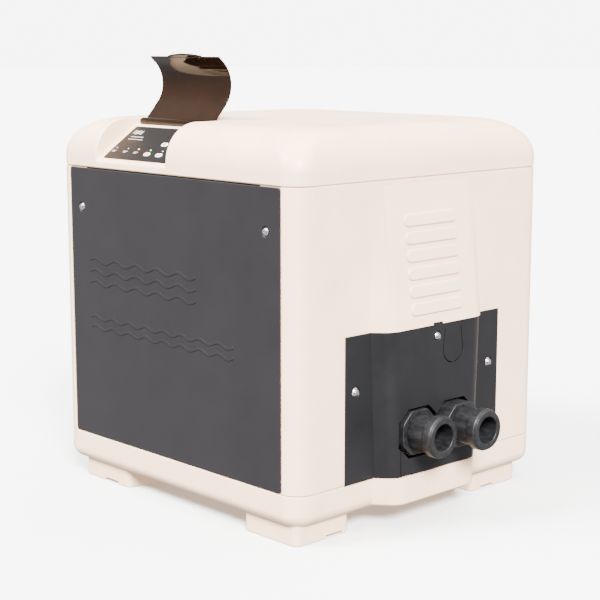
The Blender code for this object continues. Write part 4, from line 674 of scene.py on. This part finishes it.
for name, y in UNION_Y.items():
    start = PORT_END[name] + GAP
    end = start + NUT_LENGTH
    levels = [(start, 0.0258), (start + 0.0006, 0.0265), (start + 0.0016, 0.0268), (end - 0.0016, 0.0268),
              (end - 0.0006, 0.0265), (end, 0.0258)]
    nut = skin([lobed_ring(radius, 0.0010, y, x) for x, radius in levels])
    bores = [rod(TAIL_R + GAP, start - 0.01, start + 0.05, (0, y, UNION_Z), "X", 64),
             rod(0.0248, start - 0.01, start + 0.0060, (0, y, UNION_Z), "X", 64)]
    put(f"{name}_nut_moulding", fitted(nut, cuts=bores), glass_nylon,
        instead=[f"{name}_union_nut"])
    front = end + GAP
    mouth = front + 0.0135
    collar = ([(COLLAR_R - 0.0016, front), (COLLAR_R - 0.0005, front + 0.0005), (COLLAR_R, front + 0.0016)]
              + [(COLLAR_R, mouth - 0.0020), (COLLAR_R - 0.0004, mouth - 0.0009),
                 (COLLAR_R - 0.0012, mouth - 0.0003), (0.0281, mouth), (0.0278, mouth + 0.0004),
                 (0.0278, mouth + 0.0021), (0.0275, mouth + 0.0026), (0.0270, mouth + 0.0028)])
    profile = [(BORE_R, start + 0.0030), (0.0245, start + 0.0030), (0.0245, start + 0.0055),
               (TAIL_R, start + 0.0055), (TAIL_R, front)] + collar + [
               (BORE_R + 0.0014, mouth + 0.0028), (BORE_R + 0.0004, mouth + 0.0022), (BORE_R, mouth + 0.0012)]
    put(f"{name}_tailpiece_moulding", turned(profile, (0, y, UNION_Z), "X", 80), glass_nylon,
        instead=[f"{name}_tailpiece"])

manifold_low, manifold_high = Vector((0.190, 0.156, 0.095)), Vector((0.272, 0.350, 0.175))
body = block(manifold_low, manifold_high, 0.008, 5, "Y")
ports, bores = [], []
for name, y in UNION_Y.items():
    port = plate(octagon(0.0335, 0.0318, 0.0168, 0.0151, (y, UNION_Z)), 0.265, PORT_END[name], "X")
    rounded(port, [e for e in port.edges if abs(e.verts[0].co.x - e.verts[1].co.x) > 0.01], 0.0040, 4)
    rounded(port, edges_where(port, lambda p: p.x > PORT_END[name] - TINY), 0.0016, 3)
    ports.append(port)
    bores.append(rod(BORE_R, 0.230, 0.33, (0, y, UNION_Z), "X", 48))
FEED_Y, FEED_Z = 0.163, 0.118
PARTITION = (0.247, 0.253)
WATERWAY_X = 0.221
ports.append(rod(0.0125, manifold_low.x, manifold_low.x + 0.012, (0, FEED_Y, FEED_Z), "X", 32))
bores += [block((0.202, near, 0.112), (0.240, far, 0.157))
          for near, far in ((0.160, PARTITION[0]), (PARTITION[1], 0.330))]
bores.append(rod(0.0110, PARTITION[0] - 0.001, PARTITION[1] + 0.001, (WATERWAY_X, 0, UNION_Z), "Y", 32))
bores.append(rod(0.0120, 0.140, 0.175, (WATERWAY_X, 0, UNION_Z), "Y", 32))
bores.append(rod(0.0100, 0.325, 0.360, (WATERWAY_X, 0, UNION_Z), "Y", 32))
bores.append(rod(0.0060, 0.085, 0.115, (WATERWAY_X, 0.195, 0), "Z", 24))
bores.append(rod(0.0095, manifold_low.x - 0.01, manifold_low.x + 0.020, (0, FEED_Y, FEED_Z), "X", 32))
put("manifold_moulding", fitted(body, joins=ports, cuts=bores), glass_nylon,
    instead=["water_manifold"])

# ---- Keypad ----
# A printed polyester film stuck to the recess's floor, with a smoked lens over the display, the tips of a
# light bar for the indicators, and silicone keys that stand through it. The board is behind.
# Screen-printed matt polyester: near black, with a very fine emboss.
film_face = surface("printed_polyester_film", "#100D0D", "#151212", 30, 0.38, 1.0, 0.006,
                    Specular_IOR_Level=0.1)
# White printing ink on the film.
white_ink = surface("white_screen_ink", "#C9C7C4", "#DDDBD8", 4, 0.5, 1.0, 0.004)
# Red printing ink on the keys.
red_ink = surface("red_screen_ink", "#B3151B", "#C81E22", 4, 0.45, 1.0, 0.004)
# White silicone rubber, moulded: soft sheen, slightly uneven.
white_silicone = surface("white_silicone", "#E3E2DE", "#F1F0EC", 5, 0.42, 1.2, 0.01)
# Smoked acrylic, cast and polished, as thin windows and as the cover: brown, glossy, barely see-through.
smoked = surface("smoked_acrylic", "#160A03", "#1E1006", 60, 0.09, 9.0, 0.01, rough_spread=0.02,
                 Transmission_Weight=0.2, IOR=1.49, Specular_IOR_Level=0.08)
FILM_LOW, FILM_HIGH = 0.0003, 0.0013
FILM = (-0.1590, -0.0120, 0.0085, 0.0860)
DISPLAY = (-0.0620, -0.0220, 0.0620, 0.0790)
RIM_WIDE = 0.0015
LED_ROW = 0.0330
LEDS = {"status": -0.1498, "fault": -0.1225, "heating": -0.0969, "ready": -0.0686, "service": -0.0410}
KEY_HALF = (0.0066, 0.0040)
keys = {}
for name in ("pool", "spa", "raise", "lower"):
    spot = Vector(joints[f"{name}_press"]["pos_m"]) - CABINET
    keys[name] = (spot.x, spot.y / math.cos(SLOPE))


def pill(half_long, half_high, centre, low, high, steps=10):
    """A flat shape with round ends in the keypad's plane."""
    straight = half_long - half_high
    outline = arc((straight, 0), half_high, -90, 90, steps) + arc((-straight, 0), half_high, 90, 270, steps)
    return plate([(u + centre[0], v + centre[1]) for u, v in outline], low, high)


left, right, near, far = FILM
film = block((left, near, FILM_LOW), (right, far, FILM_HIGH), 0.003, 5)
holes = [block((DISPLAY[0], DISPLAY[2], -0.01), (DISPLAY[1], DISPLAY[3], 0.01))]
holes += [rod(0.0018, -0.01, 0.01, (x, LED_ROW, 0), steps=24) for x in LEDS.values()]
holes += [pill(KEY_HALF[0] + GAP, KEY_HALF[1] + GAP, spot, -0.01, 0.01) for spot in keys.values()]
put("keypad_film", moved(fitted(film, cuts=holes), plane), film_face,
    instead=["keypad_overlay"])

lens = block((DISPLAY[0] + GAP, DISPLAY[2] + GAP, -0.0014),
             (DISPLAY[1] - GAP, DISPLAY[3] - GAP, 0.0011))
rounded(lens, edges_where(lens, lambda p: p.z > 0.0010), 0.0003, 2)
rim = block((DISPLAY[0] - RIM_WIDE, DISPLAY[2] - RIM_WIDE, -0.0014),
            (DISPLAY[1] + RIM_WIDE, DISPLAY[3] + RIM_WIDE, 0.0))
put("display_lens", moved(fitted(lens, joins=[rim]), plane), smoked,
    instead=["display_window"])

# Clear acrylic, moulded: grey where it is unlit, glossy. Two of the light bar's tips are lit, amber for
# heating and green for ready.
clear = surface("clear_acrylic", "#8E908E", "#A5A7A4", 8, 0.15, 2.0, 0.004, IOR=1.49)
bar = block((LEDS["status"] - 0.003, LED_ROW - 0.002, -0.0015),
            (LEDS["service"] + 0.003, LED_ROW + 0.002, 0.0))
tips = []
for x in LEDS.values():
    tips.append(turned([(0, -0.0010), (0.0014, -0.0010), (0.0014, 0.0012), (0.0011, 0.0016), (0.0006, 0.0018),
                        (0, 0.0018)], (x, LED_ROW, 0), steps=20))
put("light_bar", moved(fitted(bar, joins=tips), plane), clear, instead=["led_light_pipe"])
for name, x, shade in (("heating", LEDS["heating"], "#FFA51E"), ("ready", LEDS["ready"], "#20D83A")):
    # The same acrylic with light in it: an even glow of one colour.
    glow = surface(f"{name}_lamp_glow", shade, shade, 3, 0.2, 1.0, 0.002, Emission_Color=linear(shade),
                   Emission_Strength=2.5)
    tip = turned([(0, 0.0019), (0.0013, 0.0017), (0.0016, 0.0014), (0.0013, 0.0021), (0.0006, 0.0024),
                  (0, 0.0024)], (x, LED_ROW, 0), steps=20)
    put(f"{name}_lamp", moved(tip, plane), glow)


def wave_mark(left, right, height, swing, wide, waves=2):
    """A thin wavy line of ink in the keypad's plane."""
    line = wave(left, right, height, swing, waves, waves * 12)
    return [(u, v + wide / 2) for u, v in line[::-1]] + [(u, v - wide / 2) for u, v in line]


def merged(shapes):
    """Several separate shapes as one mesh."""
    whole = bmesh.new()
    for shape in shapes:
        data = bpy.data.meshes.new("work")
        shape.to_mesh(data)
        shape.free()
        whole.from_mesh(data)
        bpy.data.meshes.remove(data)
    return whole


INK = (FILM_HIGH + 0.00004, FILM_HIGH + 0.00012)
marks = [wave_mark(-0.150, -0.128, 0.0745 - row * 0.0030, 0.0008, 0.0009) for row in range(3)]
marks += [rounded_rectangle(-0.146, -0.146 + long, s, s + 0.0007, 0.0003, 3)
          for s, long in ((0.0605, 0.030), (0.0545, 0.034))]
for x in LEDS.values():
    marks += [rounded_rectangle(x - 0.0045, x + long, s, s + 0.0007, 0.0003, 3)
              for s, long in ((0.0262, 0.0045), (0.0238, 0.0030))]
prints = merged([plate(outline, *INK) for outline in marks])
put("keypad_print", moved(prints, plane), white_ink)

KEY_TOP = 0.0023
SKIRT_WIDE = 0.0012
glyphs = {
    "pool": [wave_mark(-0.0052, 0.0052, v, 0.0008, 0.0018) for v in (-0.0016, 0.0016)],
    "spa": [[(u + 0.0009 * s + 0.4 * v, v) for s, v in ((-1, -0.0028), (1, -0.0028), (1, 0.0028),
                                                        (-1, 0.0028))] for u in (-0.0032, 0.0, 0.0032)],
    "raise": [[(-0.0042, -0.0022), (0.0042, -0.0022), (0.0, 0.0032)]],
    "lower": [[(0.0042, 0.0022), (-0.0042, 0.0022), (0.0, -0.0032)]],
}
for name, spot in keys.items():
    cap = pill(*KEY_HALF, spot, -0.0022, KEY_TOP)
    rounded(cap, edges_where(cap, lambda p: p.z > KEY_TOP - TINY), 0.0007, 4)
    skirt = pill(KEY_HALF[0] + SKIRT_WIDE, KEY_HALF[1] + SKIRT_WIDE, spot, -0.0010, 0.0)
    put(f"{name}_key", moved(fitted(cap, joins=[skirt]), plane), white_silicone,
        body=f"{name}_button", instead=[f"{name}_button"])
    sign = merged([plate([(u + spot[0], v + spot[1]) for u, v in outline], KEY_TOP + 0.00003,
                         KEY_TOP + 0.00012) for outline in glyphs[name]])
    put(f"{name}_key_sign", moved(sign, plane), red_ink, body=f"{name}_button")

# ---- Keypad cover ----
# A sheet of smoked acrylic, heat bent to the lid's shape, with a thumb lip at its free edge and a hinge
# barrel at the other. It swings on a stainless pin and lies back on the lid when it is open.
COVER_THICK = 0.0022
COVER_ENDS = (-0.1655, -0.0055)
TIP_Z = 0.5072
BEND_R = 0.045
LIP_HALF, LIP_SAG_LOW, LIP_SAG_HIGH = 0.040, 0.0050, 0.0120
OPEN = math.radians(131.0)
top = LID_TOP - 0.0002
bend = (0.002 + BEND_R, top - BEND_R)
outer = [(HINGE.y + 0.001, top)] + arc(bend, BEND_R, 90, 180, 28) + [(0.002, TIP_Z)]
inner = [(0.002 + COVER_THICK, TIP_Z)] + arc(bend, BEND_R - COVER_THICK, 180, 90, 28)
strip = plate(outer + inner + [(HINGE.y + 0.001, top - COVER_THICK)], *COVER_ENDS, "X")
middle = sum(COVER_ENDS) / 2


def lens_edge(sag, centre_z, sign):
    """One edge of the lens-shaped lip, bowed by sag."""
    radius = (LIP_HALF ** 2 + sag ** 2) / (2 * sag)
    spread = math.degrees(math.asin(LIP_HALF / radius))
    return arc((middle, centre_z - sign * radius), radius, sign * 90 - spread, sign * 90 + spread, 20)


lip = plate(lens_edge(LIP_SAG_LOW, TIP_Z - LIP_SAG_LOW, -1)
            + lens_edge(LIP_SAG_HIGH, TIP_Z + LIP_SAG_HIGH, 1)[1:-1], 0.0004, 0.0036, "Y")
rounded(lip, [e for e in lip.edges if e.calc_face_angle() > math.radians(60)], 0.0006, 3)
barrel = rod(0.0050, *COVER_ENDS, (0, HINGE.y, HINGE.z), "X", 32)
pin_way = rod(PIN_WAY_R, COVER_ENDS[0] - 0.01, COVER_ENDS[1] + 0.01, (0, HINGE.y, HINGE.z), "X", 20)
hood = fitted(strip, joins=[barrel, lip], cuts=[pin_way])
swing = Matrix.Translation((0, HINGE.y, HINGE.z)) @ Matrix.Rotation(-OPEN, 4, "X") @ Matrix.Translation(
    (0, -HINGE.y, -HINGE.z))
soften(hood, 0.0005, 2, 60.0, lambda p: abs(p.x - COVER_ENDS[0]) < TINY or abs(p.x - COVER_ENDS[1]) < TINY)
put("smoked_cover", moved(hood, swing), smoked, body="keypad_cover",
    instead=["keypad_cover"])
# Drawn stainless steel: a soft grey shine, with faint streaks along the hinge pin.
stainless = surface("drawn_stainless", "#A9A7A3", "#BDBBB7", 6, 0.3, 1.0, 0.01, stretch=(0.2, 1, 1),
                    Metallic=1.0)
pin = turned([(0, RECESS[0] - 0.0027), (0.0016, RECESS[0] - 0.0027), (0.0020, RECESS[0] - 0.0023),
              (0.0020, RECESS[1] + 0.0023), (0.0016, RECESS[1] + 0.0027), (0, RECESS[1] + 0.0027)],
             (0, HINGE.y, HINGE.z), "X", 24)
put("hinge_pin", pin, stainless, instead=["keypad_cover_pin"])

# ---- Flue outlet and guard ----
# A cream collar, screwed over the flue's hole in the back panel, that an extension slips over. A round
# stainless guard inside it keeps hands and birds out of the flue.
VENT_R = 0.051
face = DEPTH + GAP
vent_z = FLUE_Z + 0.004
mount = block((FLUE_X - 0.062, face, FLUE_Z - 0.030), (FLUE_X + 0.062, face + 0.003, FLUE_Z + 0.062),
              0.006, 5, "Y")
rounded(mount, edges_where(mount, lambda p: p.y > face + 0.0029), 0.0012, 3)
collar = turned([(0, face), (VENT_R, face), (VENT_R, face + 0.0350), (VENT_R - 0.0004, face + 0.0356),
                 (VENT_R - 0.0012, face + 0.0360), (0, face + 0.0360)], (FLUE_X, 0, vent_z), "Y", 72)
collar = fitted(mount, joins=[collar], cuts=[
    rod(VENT_R - 0.003, face + 0.006, face + 0.05, (FLUE_X, 0, vent_z), "Y", 72),
    rod(FLUE_R + 0.001, face - 0.02, face + 0.02, (FLUE_X, 0, FLUE_Z), "Y", 64)])
put("vent_collar", collar, cream, instead=["flue_outlet"])
guard_y = face + 0.0120
hoop = turned([(VENT_R - 0.0090, guard_y), (VENT_R - 0.0033, guard_y), (VENT_R - 0.0033, guard_y + 0.0020),
               (VENT_R - 0.0090, guard_y + 0.0020)], (FLUE_X, 0, vent_z), "Y", 64)
bars = []
for i in range(5):
    x = -0.030 + i * 0.015
    reach = math.sqrt((VENT_R - 0.006) ** 2 - x ** 2)
    bars.append(rod(0.00098, vent_z - reach, vent_z + reach, (FLUE_X + x, guard_y + 0.001, 0), "Z", 12))
put("vent_guard", fitted(hoop, joins=bars), stainless, instead=["flue_guard"])

# ---- Works inside the cabinet ----
# Burner, coil, fan, gas train and controls keep the frame's own shapes, and each gets the finish of what
# it is made of.
# Drawn copper tube: warm metal, duller in patches about 12 mm across.
copper = surface("drawn_copper", "#9E5B3C", "#B87350", 12, 0.32, 1.5, 0.02, Metallic=1.0)
# Aluminised sheet: grey metal with a spangle about 6 mm across.
aluminised = surface("aluminised_sheet_steel", "#8B8D90", "#A2A4A6", 6, 0.42, 1.5, 0.02, spread=0.7,
                     Metallic=1.0)
# Ceramic fibre board: off-white and dry, with a rough felted face.
fibre = surface("pressed_ceramic_fibre", "#CFC9BA", "#E4DFD2", 5, 0.92, 1.0, 0.25)
# Sand-cast aluminium: dull grey metal with a pitted skin.
cast = surface("sand_cast_aluminium", "#8D8F92", "#A7A9AB", 8, 0.5, 0.8, 0.08, Metallic=1.0)
# Turned brass: yellow metal, with the faint rings that the tool leaves.
brass = surface("turned_brass", "#A98A4B", "#C2A362", 9, 0.3, 0.7, 0.01, stretch=(1, 1, 4), Metallic=1.0)
# Nitrile rubber: black and dull.
rubber = surface("nitrile_rubber", "#121212", "#1B1B1B", 6, 0.7, 1.0, 0.02)
# Solder mask on a circuit board: green, with a soft gloss.
board = surface("solder_masked_board", "#0D4A24", "#14602F", 12, 0.35, 2.0, 0.02)
# Moulded acetal: red, smooth, with a waxy sheen.
red_plastic = surface("red_acetal_moulded", "#9C1418", "#B01B1F", 20, 0.35, 1.5, 0.01)
FINISH = {"copper": copper, "aluminised_steel": aluminised, "ceramic_fibre": fibre, "cast_aluminium": cast,
          "brass": brass, "rubber": rubber, "circuit_board": board, "red_knob": red_plastic,
          "stainless": stainless, "filled_nylon": glass_nylon, "charcoal_resin": charcoal_abs,
          "cream_resin": cream, "charcoal_sheet": powder_coat, "zinc_steel": zinc, "smoked_acrylic": smoked,
          "keypad_film": film_face, "white_key": white_silicone, "clear_lens": clear}
for part in frame["record"]["subparts"]:
    for holder in frame["nodes"][part["node"]].material_slots:
        holder.material = FINISH[part["material_slot"]]

# ---- Floor, light and camera ----
# A plain pale studio: one wide floor, a soft even sky and three broad suns, from the front left, the
# right and overhead. The floor throws no light back up, so the heater's undersides stay in soft shade.
# Matt background paper: near white, almost even.
paper = surface("pale_studio_floor", "#EEEEED", "#F1F1F0", 400, 0.9, 5.0, 0.01, Specular_IOR_Level=0.1)
ground = bmesh.new()
bmesh.ops.create_grid(ground, x_segments=4, y_segments=4, size=30.0)
data = bpy.data.meshes.new("studio_floor")
ground.to_mesh(data)
ground.free()
floor = bpy.data.objects.new("studio_floor", data)
data.materials.append(paper)
bpy.context.scene.collection.objects.link(floor)
floor.visible_diffuse = floor.visible_glossy = False

sky = bpy.data.worlds.new("studio_sky")
sky.use_nodes = True
bpy.context.scene.world = sky
seen = add(sky.node_tree, "ShaderNodeLightPath").outputs["Is Camera Ray"]
level = add(sky.node_tree, "ShaderNodeMapRange", {"To Min": 1.2, "To Max": 7.0}, {"Value": seen})
sky.node_tree.links.new(level.outputs["Result"], sky.node_tree.nodes["Background"].inputs["Strength"])
sky.node_tree.nodes["Background"].inputs["Color"].default_value = (1.0, 1.0, 1.0, 1.0)

SUNS = (("key_sun", (-0.9, -1.9, 2.2), 12.0, 20), ("side_sun", (2.7, -1.6, 2.3), 20.0, 20),
        ("overhead_sun", (0.3, 0.3, 3.0), 5.0, 45))
for name, spot, strength, degrees in SUNS:
    sun = bpy.data.lights.new(name, "SUN")
    sun.energy, sun.angle = strength, math.radians(degrees)
    lamp = bpy.data.objects.new(name, sun)
    lamp.location = spot
    lamp.rotation_euler = (-Vector(spot)).to_track_quat("-Z", "Y").to_euler()
    bpy.context.scene.collection.objects.link(lamp)

lens = bpy.data.cameras.new("studio_camera")
lens.lens, lens.sensor_width = 87.65, 36.0
camera = bpy.data.objects.new("studio_camera", lens)
camera.location = (1.5830, -1.5586, 0.6752)
camera.rotation_euler = (math.radians(90 - 10.008), 0.0, math.radians(46.486))
bpy.context.scene.collection.objects.link(camera)
bpy.context.scene.camera = camera
